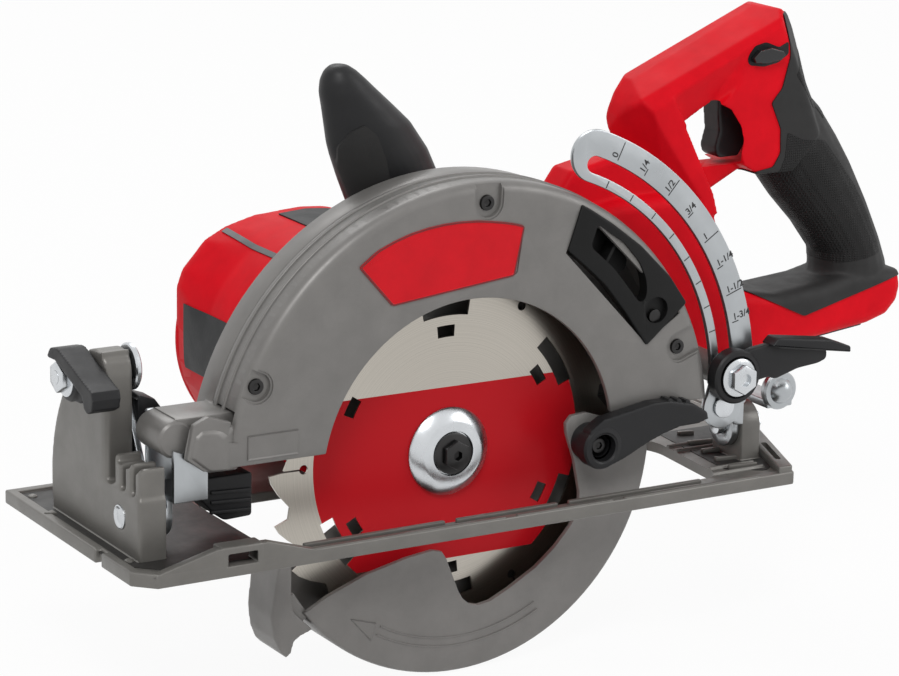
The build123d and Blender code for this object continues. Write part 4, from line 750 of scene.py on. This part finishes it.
# lower guard: near wall with a long front horn and a rear arm, rim, back wall, front lip and a raised arrow
lower = {
    "radius": 102.2, "near": -45.3, "wall": 2.2, "far": -18.5, "edge": 0.5,
    "nearWall": [(-86, -35), (-70, -26.6), (-50, -19.2), (-29, -14.6), (-15.5, -13), (-10.5, -14.2), (-8, -18),
        (-1.4, -34.2), (1, -38.4), (4.5, -41.6), (9.6, -43.1), (16.1, -42.2), (26.2, -37.6), (40.6, -29.6),
        (50.7, -21.5), (59.3, -12.1), (63.5, -4), (63.5, 4), (60, 20), (55.5, 33), (55, 38), (58, 41.4), (66, 42),
        (76, 38.5), (101, 33.6), (112, 33), (112, -90), (-112, -90), (-112, -50)],
    "lip": [(-94, -8), (-95.5, -22), (-96.8, -33), (-95.6, -43), (-93, -49.5), (-90.3, -52.3), (-88, -50.5),
        (-86.4, -45), (-83, -43), (-77, -41), (-82, -36), (-87, -31), (-88, -22), (-88, -8)],
    "lipFacet": ((-93, -45.3, -30), (-0.6, -0.8, 0)), "lipVoxel": 0.8, "lipRounds": 6, "arrowLines": [84.9, 89.1],
    "arrowFrom": -120, "arrowSweep": 58, "arrowHead": [(-58, -39), (-44.6, -43), (-47.4, -51)], "raise": 0.45,
    "headBorder": 0.8, "headSink": 0.405,
}
r, y = lower["radius"], lower["near"]
bm = cadCopy("lower_guard")
shave(bm, (0, y + lower["wall"] + 0.2, 0), (0, -1, 0))
bmesh.ops.recalc_face_normals(bm, faces=bm.faces)
roundEdges(bm, lower["edge"])
rear = newObject(bm, "guardRear")
bm = bmesh.new()
plate(bm, "y", lower["lip"], y, lower["far"])
shave(bm, *lower["lipFacet"])
lip = meltTogether(newObject(bm, "lip"), lower["lipVoxel"], lower["lipRounds"])
wall = form("nearWall", plate, "y", lower["nearWall"], y, y + lower["wall"] + 0.6)
rimForm = [(0, y), (r - 2, y), (r - 0.6, y + 0.6), (r, y + 2), (r, y + 6), (0, y + 6)]
cut(wall, form("wallRound", turned, "y", arbor, rimForm, steps=120), operation="INTERSECT")
bm = takeIn(bmesh.new(), wall)
bmesh.ops.remove_doubles(bm, verts=bm.verts, dist=0.01 * mm)
roundEdges(bm, lower["edge"])
takeIn(bm, rear, lip)
dress(newObject(bm, "lowerGuard"), "lower_guard", lowerPaint, "lower_guard")

bm = bmesh.new()
top = y - lower["raise"]
for r in lower["arrowLines"]:
    turned(bm, "y", arbor, [(r - 0.5, y + 0.3), (r - 0.25, top), (r + 0.25, top), (r + 0.5, y + 0.3)],
           start=lower["arrowFrom"], sweep=lower["arrowSweep"])
plate(bm, "y", lower["arrowHead"], top, y + 0.3)
sink(bm, nearest(f for f in bm.faces if len(f.verts) == 3), lower["headBorder"], lower["headSink"])
dress(newObject(bm, "guardArrow"), "lower_guard", lowerPaint)
print("lower guard")


# blade with long and short slots, stepped flange and bolt
blade = {
    "pairs": 6, "first": 92, "slots": [(64, 71, 21), (54, 59.5, 9)], "cutLow": -31.6, "cutHigh": -28.4,
    "flange": [(6, -30.7), (20.8, -30.7), (20.9, -31.6), (20.2, -32.6), (15.6, -35.6), (14.6, -36), (10.6, -36),
        (10.3, -34.2), (6, -34.2)],
    "bolt": [(0, -35), (9.6, -35), (9.8, -36.2), (8.9, -36.7), (0, -36.7)], "hex": (12.2, -40.4, -36.2),
    "hexEdge": 0.6, "socket": (4.2, -41.4, -37.4), "socketEdge": 0.1,
}
low, high = blade["cutLow"], blade["cutHigh"]
bm = cadCopy("saw_blade")
mergeFlats(bm)
disc = newObject(bm, "blade")
bm = bmesh.new()
for k in range(blade["pairs"]):
    for inner, outer, span in blade["slots"]:
        start = blade["first"] + 360 / blade["pairs"] * k - span / 2
        band = [(inner, low), (outer, low), (outer, high), (inner, high)]
        turned(bm, "y", arbor, band, start=start, sweep=span, steps=6)
cut(disc, newObject(bm, "bladeSlots"))
dress(disc, "blade_arbor", bladeSteel, "saw_blade")
flange = form("outerFlange", turned, "y", arbor, blade["flange"], closed=True, steps=64)
dress(flange, "blade_arbor", zinc, "outer_flange", sharp=40)
bm = bmesh.new()
turned(bm, "y", arbor, blade["bolt"], steps=40)
hexBar(bm, "y", arbor, *blade["hex"], edge=blade["hexEdge"])
bolt = newObject(bm, "bladeBolt")
cut(bolt, form("boltSocket", hexBar, "y", arbor, *blade["socket"], edge=blade["socketEdge"]))
dress(bolt, "blade_arbor", blackSteel, "blade_bolt")
print("blade, flange and bolt")


# chip chute: black insert with a curved mouth, a scoop behind it, one vane and a screw pocket
chute = {
    "low": -53.2, "high": -47, "corner": 1.2, "edge": 0.9, "screw": (97.9, 89.2), "pocket": 6.2, "pocketDeep": 3,
    "outline": [(55.5, 143), (48.4, 122.3), (60, 112.5), (69.3, 104), (81.5, 89.1), (93.3, 72.6), (115.1, 90.8),
        (105.4, 104.3), (88.7, 120.5), (72.5, 132.5), (60, 140.5)],
    "mouth": [(64, 133), (60.5, 123), (73.5, 111.6), (88.5, 93.5), (91.5, 95), (92.3, 99), (91.4, 105.2),
        (87.9, 112.8), (79.1, 122.8)],
    "mouthCorner": 2, "scoop": [(63, 133), (59.5, 123), (73, 111), (80, 103), (88, 108), (88.5, 113), (79.5, 124)],
    "scoopDeep": -40, "scoopThick": 1.2, "vane": [(72, 112), (77.5, 121), (76.3, 122), (70.6, 113)],
}
low, high, deep = chute["low"], chute["high"], chute["scoopDeep"]
insert = form("chipChute", plate, "y", chute["outline"], low, high, corner=chute["corner"], edge=chute["edge"])
mouth = form("mouth", plate, "y", chute["mouth"], low - 2, high + 2, corner=chute["mouthCorner"])
pocket = form("screwPocket", rod, "y", chute["screw"], chute["pocket"], low - 1, low + chute["pocketDeep"],
              steps=28)
cut(insert, mouth, pocket, crossing=True)
bm = takeIn(bmesh.new(), insert)
plate(bm, "y", chute["scoop"], deep - chute["scoopThick"], deep, corner=chute["mouthCorner"])
plate(bm, "y", chute["vane"], high - 2, deep, edge=0.3)
dress(newObject(bm, "chipChute"), "saw_body", chuteBlack, "chip_chute")
print("chip chute")


# depth scale: lines and numbers on the near face of the bracket
scale = {
    "face": -46.5, "turns": [64.5, 56.7, 48.8, 41.3, 33.9, 26.8, 20.1, 13.7],
    "numbers": ["0", "1/4", "1/2", "3/4", "1", "1-1/4", "1-1/2", "1-3/4"], "long": (126.2, 135.2),
    "short": (126.2, 129.8), "inner": (112.6, 116), "wide": 0.55, "high": 0.06, "text": 4.7, "textBold": 0.1,
    "textFrom": 127, "textOff": 0.9,
}
bm = bmesh.new()
for k, (angle, number) in enumerate(zip(scale["turns"], scale["numbers"])):
    radial = stand("y", bracket["middle"]) @ Matrix.Rotation(math.radians(-angle), 4, "Y")
    for start, end in (scale["short" if k % 2 else "long"], scale["inner"]):
        bar = bmesh.ops.create_cube(bm, size=1)["verts"]
        size = Matrix.Diagonal(((end - start) * mm, scale["high"] * mm, scale["wide"] * mm, 1))
        lay = Matrix.Translation(Vector(((start + end) / 2, scale["face"], 0)) * mm)
        bmesh.ops.transform(bm, matrix=radial @ lay @ size, verts=bar)
    text = bpy.data.curves.new("number", "FONT")
    text.body = number
    text.size = scale["text"] * mm
    text.extrude = scale["high"] / 2 * mm
    text.offset = scale["textBold"] * mm
    sign = addObject("number", text)
    bpy.context.view_layer.update()
    flat = bpy.data.meshes.new_from_object(sign.evaluated_get(bpy.context.evaluated_depsgraph_get()))
    old = set(bm.verts)
    bm.from_mesh(flat)
    lay = Matrix.Translation(Vector((scale["textFrom"], scale["face"], scale["textOff"])) * mm)
    bmesh.ops.transform(bm, matrix=radial @ lay @ Matrix.Rotation(math.radians(90), 4, "X"),
                        verts=[v for v in bm.verts if v not in old])
    bpy.data.objects.remove(sign)
    bpy.data.curves.remove(text)
    bpy.data.meshes.remove(flat)
bmesh.ops.remove_doubles(bm, verts=bm.verts, dist=0.0005 * mm)
dress(newObject(bm, "depthScale"), "depth_bracket", scaleInk)
print("depth scale")


# depth lever: hub ring, web and a flat thumb plate
depthLever = {
    "pivot": (144, 52), "webLow": -55, "webHigh": -50.4, "thumbLow": -58.4, "thumbHigh": -48.7,
    "web": [(148, 62), (152, 64.4), (162, 65.6), (168, 66), (185, 62.5), (197, 59), (196.9, 54.6), (192, 52.9),
        (180, 51.8), (167, 48), (163, 49.6), (152, 48), (147, 42)],
    "thumb": [(162, 65.4), (165.5, 69), (197.5, 64.4), (208.6, 60.2), (208.8, 57.2), (196.5, 59.2), (168, 63.6)],
    "hub": [(3.4, -48.6), (12.2, -48.6), (13, -49.4), (13, -55.4), (12.2, -56.3), (10.4, -56.6), (9.8, -55.8),
        (9.6, -54.6), (3.4, -54.6)],
}
bm = bmesh.new()
turned(bm, "y", depthLever["pivot"], depthLever["hub"], closed=True, steps=44)
plate(bm, "y", depthLever["web"], depthLever["webLow"], depthLever["webHigh"], corner=1.5, edge=0.9)
plate(bm, "y", depthLever["thumb"], depthLever["thumbLow"], depthLever["thumbHigh"], corner=0.8, edge=0.8)
dress(newObject(bm, "depthLever"), "depth_lever", blackPlastic, "depth_lever")

# guard lever: thick black arm with a round boss and three grip teeth
guardLever = {
    "boss": (66.5, 28.6), "low": -60, "high": -52.4, "voxel": 0.7, "rounds": 6,
    "outline": [(66.5, 42), (80, 44.2), (94, 46.6), (104, 46.3), (117, 43.3), (124.5, 38.6), (125.5, 35),
        (120, 33.4), (109, 33.1), (100, 30.8), (92, 28), (84.6, 24.6), (78, 21.6), (70, 19), (61.5, 22), (56.5, 29),
        (59.5, 37.5)],
    "bore": [(0, -62), (6.6, -62), (6.3, -56.4), (5.3, -56.4), (5.3, -50), (0, -50)],
    "bossRing": [(5.3, -45.4), (8.8, -45.4), (9, -46), (9, -52.3), (10.4, -52.5), (10.4, -59), (9.6, -60.2),
        (7.6, -60.6), (6.6, -59.8), (6.3, -56.4), (5.3, -56.4)],
    "teeth": [(103.5, 46.4), (108.5, 45.6), (113.5, 44.6)], "tooth": [(-2.2, -1.5), (-1, 0.9), (1, 0.7), (2.2, -2)],
}
low, high = guardLever["low"], guardLever["high"]
arm = form("guardLever", plate, "y", guardLever["outline"], low, high)
meltTogether(arm, guardLever["voxel"], guardLever["rounds"])
cut(arm, form("bossBore", turned, "y", guardLever["boss"], guardLever["bore"], steps=40))
bm = takeIn(bmesh.new(), arm)
turned(bm, "y", guardLever["boss"], guardLever["bossRing"], closed=True, steps=44)
for x, z in guardLever["teeth"]:
    plate(bm, "y", [(x + a, z + b) for a, b in guardLever["tooth"]], low + 0.6, high - 0.4, edge=0.3)
dress(newObject(bm, "guardLever"), "lower_guard", blackPlastic, "guard_lever")

# bevel lever: hub on the clamp bolt and a broad sloping thumb pad over the nut
bevelLever = {
    "pivot": (4.97, 76.57), "armLow": -172.5, "armHigh": -165.5, "thumbLow": -178.9, "thumbHigh": -165.6,
    "voxel": 0.6, "rounds": 4,
    "arm": [(16, 78), (12, 87), (3, 88.5), (-26, 79), (-31, 74), (-27, 69), (-14, 71), (-6, 66.5), (8, 65.6)],
    "thumb": [(14, 84.6), (11, 88.6), (3.5, 90), (-26, 80.4), (-32.4, 78.6), (-33.6, 75), (-32.4, 70.4),
        (-27.5, 67.8), (-24, 69.5), (-22, 74.4), (6, 84), (13, 83.4)],
    "hub": [(0, -165.5), (11, -165.5), (11.6, -166.4), (11.6, -173), (10.8, -173.9), (0, -173.9)],
}
bm = bmesh.new()
turned(bm, "x", bevelLever["pivot"], bevelLever["hub"], steps=40)
plate(bm, "x", bevelLever["arm"], bevelLever["armLow"], bevelLever["armHigh"])
plate(bm, "x", bevelLever["thumb"], bevelLever["thumbLow"], bevelLever["thumbHigh"])
bevelPad = meltTogether(newObject(bm, "bevelLever"), bevelLever["voxel"], bevelLever["rounds"])
dress(bevelPad, "bevel_lever", blackPlastic, "bevel_lever")
print("levers")


# flanged nuts with the bolt ends sunk in them, and the rafter hook
nuts = {
    "flats": 12.8, "flange": 9.2, "inner": 3.3, "bore": 3.1, "boreDeep": 1.6,
    "pieces": [("depthNut", "depth_clamp_nut", "depth_lever", "y", depthLever["pivot"], -56.2, -62.4),
        ("bevelNut", "bevel_clamp_nut", "bevel_lever", "x", bevelLever["pivot"], -173.9, -178.9)],
}
wide, inner = nuts["flange"], nuts["inner"]
for name, node, body, axis, place, seat, tip in nuts["pieces"]:
    nut = form(name, hexBar, axis, place, nuts["flats"], tip, seat - 0.6, edge=0.7)
    cut(nut, form("nutBore", rod, axis, place, nuts["bore"], tip - 1, tip + nuts["boreDeep"]))
    bm = takeIn(bmesh.new(), nut)
    collar = [(inner, seat), (wide, seat), (wide, seat - 0.9), (wide - 1.6, seat - 1.7), (inner, seat - 1.9)]
    turned(bm, axis, place, collar, closed=True, steps=36)
    dress(newObject(bm, name), body, zinc, node)

hook = {
    "ball": (188.8, 33.6), "edge": 0.9,
    "disc": [(0, -35.4), (2.5, -35), (4.8, -33.6), (6, -31.6), (6.4, -30.8), (8.8, -30.6), (9.6, -29.8),
        (9.7, -27.8), (9, -26.4), (0, -26.2)],
}
bm = cadCopy("rafter_hook")
roundEdges(bm, hook["edge"])
turned(bm, "y", hook["ball"], hook["disc"], steps=40)
dress(newObject(bm, "rafterHook"), "rafter_hook", zincPlate, "rafter_hook", sharp=40)
print("nuts and hook")


# shoe: flat plate with crisp edges, and the upright with its fins as a soft casting
shoe = {
    "split": 6.7, "uprightEnd": -145, "foot": 4, "edge": 0.9, "voxel": 0.9, "rounds": 5,
    "opening": [(118, -58), (132, -57), (136, -51), (140, 0), (138, 8), (132, 14), (118, 15)], "openingCorner": 3,
    "head": [(-16, 28), (-16.2, 80), (-14.8, 86), (-10.5, 89.6), (-4, 90), (3, 88), (10, 80), (12, 60), (4, 28)],
    "headLow": -164.6, "headHigh": -151.6, "fins": [(-25.2, -22, 47), (-40, -37, 46.6), (-48.4, -45.6, 46.4)],
    "finFront": -163.6, "finBack": -151.7, "finFoot": 25,
    "step": [(-164.5, 4), (-164.5, 32.5), (-151.8, 32.5), (-151.8, 4)], "stepNear": -49.7, "stepFar": -46,
    "rearRib": [(159.5, -70.8), (167.6, -70.8), (204, 21), (204, 30), (195, 30), (195, 20)], "rearTop": 9.4,
    "rearSlots": [((196.6, 14), (184.8, -16)), ((177.4, -34), (168, -58))], "slotHalf": 1.5, "slotFloor": 6.2,
    "wall": [(-168, 5), (-164, 6.8), (-138, 13.4), (-113, 13.4), (-92, 7), (-84, 5)], "wallNear": -71.2,
    "wallFar": -66.6, "fenceSlot": [(-133, 5), (-118.5, 5), (-118.5, 10.6), (-133, 10.6)], "detailLow": 4.6,
    "rails": [(-92, -20, -62.6), (-14, 40, -62.6), (46, 120, -62.6), (-92, 8, -69.4), (14, 66, -69.4),
        (72, 150, -69.4)],
    "railHalf": 1.3, "railTop": 7,
    "ribs": [(156, 164, 8.5), (151, 164, -7.6), (149, 163, -22), (147, 161, -36), (145, 160, -50)], "ribHalf": 1.1,
    "ribLean": -2, "ribTop": 7.2,
    "marks": [[(-174, 30), (-169, 27.5), (-169, 32.5)], [(-132, -69.5), (-129.5, -65), (-134.5, -65)]],
    "markLow": 5.8, "markTop": 6.9, "rivets": [(-166.8, 59.3), (-167.5, -44.9), (-110, 64), (40, 66), (150, 62)],
    "rivet": [(0, 6.4), (1.2, 6.3), (2.1, 5.7), (2.4, 4.6), (0, 4.6)],
    "trays": [[(149, 16), (143, -50), (160, -60), (166, -56), (194, 16)],
        [(-173.6, 66), (-173.6, -49), (-156.8, -65.8), (-106, -65.8), (-106, 66)]],
    "trayTop": 5.25,
}
split = shoe["split"] * mm
bm = cadCopy("base_shoe")
bmesh.ops.bisect_plane(bm, geom=bm.verts[:] + bm.edges[:] + bm.faces[:], plane_co=(0, 0, split), plane_no=(0, 0, 1))
middles = [(f, f.calc_center_median()) for f in bm.faces]
bmesh.ops.delete(bm, geom=[f for f, c in middles if c.z > split and c.x < shoe["uprightEnd"] * mm], context="FACES")
bmesh.ops.holes_fill(bm, edges=[e for e in bm.edges if e.is_boundary], sides=0)
bmesh.ops.recalc_face_normals(bm, faces=bm.faces)
roundEdges(bm, shoe["edge"], steps=3)
plateShoe = newObject(bm, "shoe")
cut(plateShoe, form("rearOpening", plate, "z", shoe["opening"], -2, 12, corner=shoe["openingCorner"]))
dress(plateShoe, "base", shoePaint, "base_shoe")

bm = cadCopy("base_shoe")
shave(bm, (0, 0, shoe["split"]), (0, 0, -1))
shave(bm, (shoe["uprightEnd"], 0, 0), (1, 0, 0))
foot = [v for v in bm.verts if v.co.z < split + 0.01 * mm]
bmesh.ops.translate(bm, verts=foot, vec=(0, 0, shoe["foot"] * mm - split))
plate(bm, "x", shoe["head"], shoe["headLow"], shoe["headHigh"])
front, rear, low = shoe["finFront"], shoe["finBack"], shoe["finFoot"]
for near, far, top in shoe["fins"]:
    plate(bm, "y", [(front, low), (front, top - 1), (front + 1.5, top), (rear, top), (rear, low)], near, far)
plate(bm, "y", shoe["step"], shoe["stepNear"], shoe["stepFar"])
upright = meltTogether(newObject(bm, "upright"), shoe["voxel"], shoe["rounds"])
dress(upright, "base", shoePaint)

# raised rear edge with two slots, rising near wall, rails, ribs, rivets and sight marks
rear = form("rearRib", plate, "z", shoe["rearRib"], shoe["foot"], shoe["rearTop"], corner=1.5, edge=0.8)
bm = bmesh.new()
for start, end in shoe["rearSlots"]:
    stadium(bm, "z", start, end, shoe["slotHalf"], shoe["slotFloor"], shoe["rearTop"] + 2)
cut(rear, newObject(bm, "slots"))
near, far = shoe["wallNear"], shoe["wallFar"]
wall = form("nearWall", plate, "y", shoe["wall"], near, far, edge=0.6)
cut(wall, form("fenceSlot", plate, "y", shoe["fenceSlot"], near - 3, far + 3, corner=0.8))
bm = takeIn(bmesh.new(), rear, wall)
low = shoe["detailLow"]
for x0, x1, y in shoe["rails"]:
    plate(bm, "z", barOutline(x0, x1, y, shoe["railHalf"]), low, shoe["railTop"], corner=1, edge=0.5, steps=2)
for x0, x1, y in shoe["ribs"]:
    outline = barOutline(x0, x1, y, shoe["ribHalf"], shoe["ribLean"])
    plate(bm, "z", outline, low, shoe["ribTop"], corner=0.6, edge=0.5, steps=2)
for outline in shoe["marks"]:
    plate(bm, "z", outline, shoe["markLow"], shoe["markTop"], edge=0.2, steps=1)
for place in shoe["rivets"]:
    turned(bm, "z", place, shoe["rivet"], steps=16)
dress(newObject(bm, "shoeDetails"), "base", shoePaint)
# a near-black plate on each tray floor: painted shade in the recesses under the battery seat
bm = bmesh.new()
for outline in shoe["trays"]:
    plate(bm, "z", outline, low, shoe["trayTop"], corner=2)
dress(newObject(bm, "trayShadePlate"), "base", trayShade)
print("shoe")


# motor drum: red housing that swells towards its vented end cap, with bare panels let into its skin
drum = {
    "axis": (-22, 62.6), "radius": 57, "skinFrom": 34, "skinProud": 0.25, "flatBottom": 10.2, "voxel": 1.1,
    "rounds": 7,
    "flare": [(-78, 60), (-78.6, 66), (-78.6, 88), (-75.6, 96.3), (-63.7, 109.4), (-53, 114.8), (-38, 118.8),
        (-13, 120.8), (0, 119.8), (13.4, 116.2), (24, 108), (33, 90), (35, 70), (33, 50), (20, 22), (0, 10),
        (-22, 5.8), (-46.1, 10.9), (-58.6, 18.9), (-68.7, 29.9), (-75.6, 43.1), (-78.2, 53)],
    "flareFrom": 60,
    # y, and the share of the outline there
    "flareLevels": [(86, 1), (90.8, 1), (91.6, 0.975)],
    # start and sweep in degrees, near and far y
    "panels": [(panelGrey, "topPanel", 62, 34.5, 44, 82), (stripGrey, "greyStrip", 121.4, 3, 34.8, 86),
        (panelGrey, "sidePanel", 161.4, 30.5, 36, 81)],
    "panelProud": 0.7, "vents": 7, "ventPitch": 10, "ventHalf": (26, 1.75), "capEdge": 0.8, "capFar": 94,
    "groove": [(46, 92.2), (46, 94), (47.4, 94), (47.4, 92.2)], "screwRing": 50, "screws": [30, 150, 215, 325],
    "pocket": 3.9, "pocketFloor": 90.2, "screw": [(0, 92.3), (2.7, 92.3), (3.2, 91.8), (3.2, 89.6), (0, 89.6)],
    "socket": 2.6, "socketFloor": 91, "bead": [(56.4, 29.2), (57.35, 29.6), (57.35, 30.4), (56.4, 30.8)],
    "beadFrom": 30, "beadSweep": 190,
}
x, z = drum["axis"]
spots = [polar(drum["axis"], drum["screwRing"], angle) for angle in drum["screws"]]
endCap = softCopy("motor_end_cap", "motorEndCap", drum["capEdge"])
cuts, heads, sockets = bmesh.new(), bmesh.new(), bmesh.new()
turned(cuts, "y", drum["axis"], drum["groove"], closed=True, steps=72)
for place in spots:
    rod(cuts, "y", place, drum["pocket"], drum["pocketFloor"], drum["capFar"] + 1)
    turned(heads, "y", place, drum["screw"], steps=24)
    hexBar(sockets, "y", place, drum["socket"], drum["socketFloor"], drum["capFar"], edge=0.1)
cut(endCap, newObject(cuts, "capCuts"), crossing=True)
dress(endCap, "saw_body", redPlastic, "motor_end_cap")
capScrews = newObject(heads, "capScrews")
cut(capScrews, newObject(sockets, "sockets"))
dress(capScrews, "saw_body", blackSteel)

r, flat = drum["radius"] + drum["skinProud"], drum["flatBottom"]
bm = bmesh.new()
ring = bmesh.ops.create_circle(bm, segments=96, radius=r * mm)["verts"]
lay = Matrix.Translation(spot("y", x, z, drum["flareFrom"])) @ Matrix.Rotation(math.radians(90), 4, "X")
bmesh.ops.transform(bm, matrix=lay, verts=ring)
corners = [bm.verts.new(spot("y", x + (u - x) * share, z + (v - z) * share, y))
           for y, share in drum["flareLevels"] for u, v in drum["flare"]]
bmesh.ops.convex_hull(bm, input=ring + corners)
dropLooseEdges(bm)
shave(bm, (0, 0, flat), (0, 0, -1))
tube = bmesh.new()
rod(tube, "y", drum["axis"], r, drum["skinFrom"], drum["flareFrom"] + 2, steps=96)
shave(tube, (0, 0, flat), (0, 0, -1))
takeIn(bm, newObject(tube, "tube"))
skin = meltTogether(newObject(bm, "drumSkin"), drum["voxel"], drum["rounds"])
axis, grow = spot("y", x, z, 0), 1 + drum["panelProud"] / drum["radius"]
swell = Matrix.Translation(axis) @ Matrix.Diagonal((grow, 1, grow, 1)) @ Matrix.Translation(-axis)
for mat, name, start, sweep, near, far in drum["panels"]:
    bm = bmesh.new()
    bm.from_mesh(skin.data)
    bmesh.ops.transform(bm, matrix=swell, verts=bm.verts)
    panel = newObject(bm, name)
    sector = [(r - 2, near), (r + 16, near), (r + 16, far), (r - 2, far)]
    steps = max(4, int(sweep / 2))
    wedge = form("sector", turned, "y", drum["axis"], sector, start=start, sweep=sweep, steps=steps)
    cut(panel, wedge, operation="INTERSECT")
    dress(panel, "saw_body", mat, sharp=50)
bm = bmesh.new()
wide, high = drum["ventHalf"]
for k in range(drum["vents"]):
    v = z + drum["ventPitch"] * (k - (drum["vents"] - 1) / 2)
    plate(bm, "y", barOutline(x - wide, x + wide, v, high), drum["skinFrom"] - 2, drum["capFar"])
cut(skin, newObject(bm, "vents"))
dress(skin, "saw_body", redPlastic, sharp=40)
bead = form("drumBead", turned, "y", drum["axis"], drum["bead"], start=drum["beadFrom"], sweep=drum["beadSweep"],
            steps=80)
dress(bead, "saw_body", redPlastic, sharp=50)
print("motor drum")


# trigger with a hooked front, lock-off lever in its pocket
trigger = {
    "low": 2.2, "high": 15.8, "voxel": 0.7, "rounds": 5,
    "outline": [(168.6, 174.5), (168.6, 166), (169.6, 157.5), (167.6, 150), (168.2, 146.6), (170.5, 144.6),
        (181, 144.8), (184.5, 150), (184.5, 160), (180, 168), (176, 174.5)],
}
blackTrigger = form("triggerBlade", plate, "y", trigger["outline"], trigger["low"], trigger["high"])
meltTogether(blackTrigger, trigger["voxel"], trigger["rounds"])
dress(blackTrigger, "trigger", blackPlastic, "trigger")

lockOff = {
    "low": -13.7, "high": -2, "voxel": 0.5, "rounds": 4, "pocketLow": -10.3, "pocketHigh": -7, "pocketCorner": 1.2,
    "pocketBorder": 0.7, "pocketSink": 0.25,
    "pad": [(177, 195), (181, 198.6), (187, 199.6), (194, 197.6), (195.6, 195.6), (193, 193.4), (185, 192.2),
        (178, 192.8)],
    "pocket": [(175.2, 193.8), (176.4, 197), (179.5, 200.6), (185.8, 202), (193.7, 199), (199, 201.5),
        (199.4, 195.5), (193.2, 191.6), (185.1, 190.2), (176.6, 191.4)],
}
lockPad = form("lockOffPad", plate, "y", lockOff["pad"], lockOff["low"], lockOff["high"])
meltTogether(lockPad, lockOff["voxel"], lockOff["rounds"])
dress(lockPad, "lock_off", shinyPlastic, "lock_off_button")
bm = bmesh.new()
plate(bm, "y", lockOff["pocket"], lockOff["pocketLow"], lockOff["pocketHigh"], corner=lockOff["pocketCorner"])
sink(bm, nearest(bm.faces), lockOff["pocketBorder"], lockOff["pocketSink"])
dress(newObject(bm, "lockOffPocket"), "saw_body", blackPlastic)
print("trigger and lock-off")


# floor, light and backdrop
studio = {
    "floorZ": -0.0742, "floorSize": 14.0, "paper": 0.86, "floorGlow": 0.94, "world": 0.42, "aim": (0, 0, 0.08),
    "lamps": [((-1.3, -1.7, 2.4), 38, 1.0), ((1.9, -1.4, 1.3), 14, 1.2), ((0.4, 1.8, 2.2), 20, 1.4)],
}
white = (1, 1, 1, 1)


def seenBy(tree, *rays):
    path = tree.nodes.new("ShaderNodeLightPath")
    seen = path.outputs[rays[0]]
    for ray in rays[1:]:
        seen = combine(tree, "MAXIMUM", seen, path.outputs[ray])
    return seen


def backdrop(tree, outKind, share, lit, plain):
    both = tree.nodes.new("ShaderNodeMixShader")
    out = tree.nodes.new(outKind)
    wire(tree, (share, both.inputs["Fac"]), (lit.outputs[0], both.inputs[1]), (plain.outputs[0], both.inputs[2]),
         (both.outputs[0], out.inputs["Surface"]))


bm = bmesh.new()
bmesh.ops.create_grid(bm, x_segments=2, y_segments=2, size=studio["floorSize"])
bmesh.ops.translate(bm, verts=bm.verts, vec=(0, 0, studio["floorZ"]))
floor = newObject(bm, "floor")
floorMat = bpy.data.materials.new("floorPaper")
floorMat.use_nodes = True
tree = floorMat.node_tree
tree.nodes.clear()
share = addNode(tree, "ShaderNodeMath", operation="MULTIPLY")
share.inputs[1].default_value = studio["floorGlow"]
wire(tree, (seenBy(tree, "Is Camera Ray", "Is Glossy Ray"), share.inputs[0]))
backdrop(tree, "ShaderNodeOutputMaterial", share.outputs[0],
         addNode(tree, "ShaderNodeBsdfDiffuse", Color=(*[studio["paper"]] * 3, 1)),
         addNode(tree, "ShaderNodeEmission", Color=white, Strength=1.0))
floor.data.materials.append(floorMat)

world = bpy.data.worlds.new("studio")
bpy.context.scene.world = world
world.use_nodes = True
tree = world.node_tree
tree.nodes.clear()
backdrop(tree, "ShaderNodeOutputWorld", seenBy(tree, "Is Camera Ray", "Is Glossy Ray", "Is Transmission Ray"),
         addNode(tree, "ShaderNodeBackground", Color=white, Strength=studio["world"]),
         addNode(tree, "ShaderNodeBackground", Color=white, Strength=1.0))

for place, power, size in studio["lamps"]:
    lampData = bpy.data.lights.new("softbox", "AREA")
    lampData.energy = power
    lampData.size = size
    lamp = addObject("softbox", lampData)
    lamp.location = place
    lamp.rotation_euler = (Vector(studio["aim"]) - Vector(place)).to_track_quat("-Z", "Y").to_euler()
print("studio set")
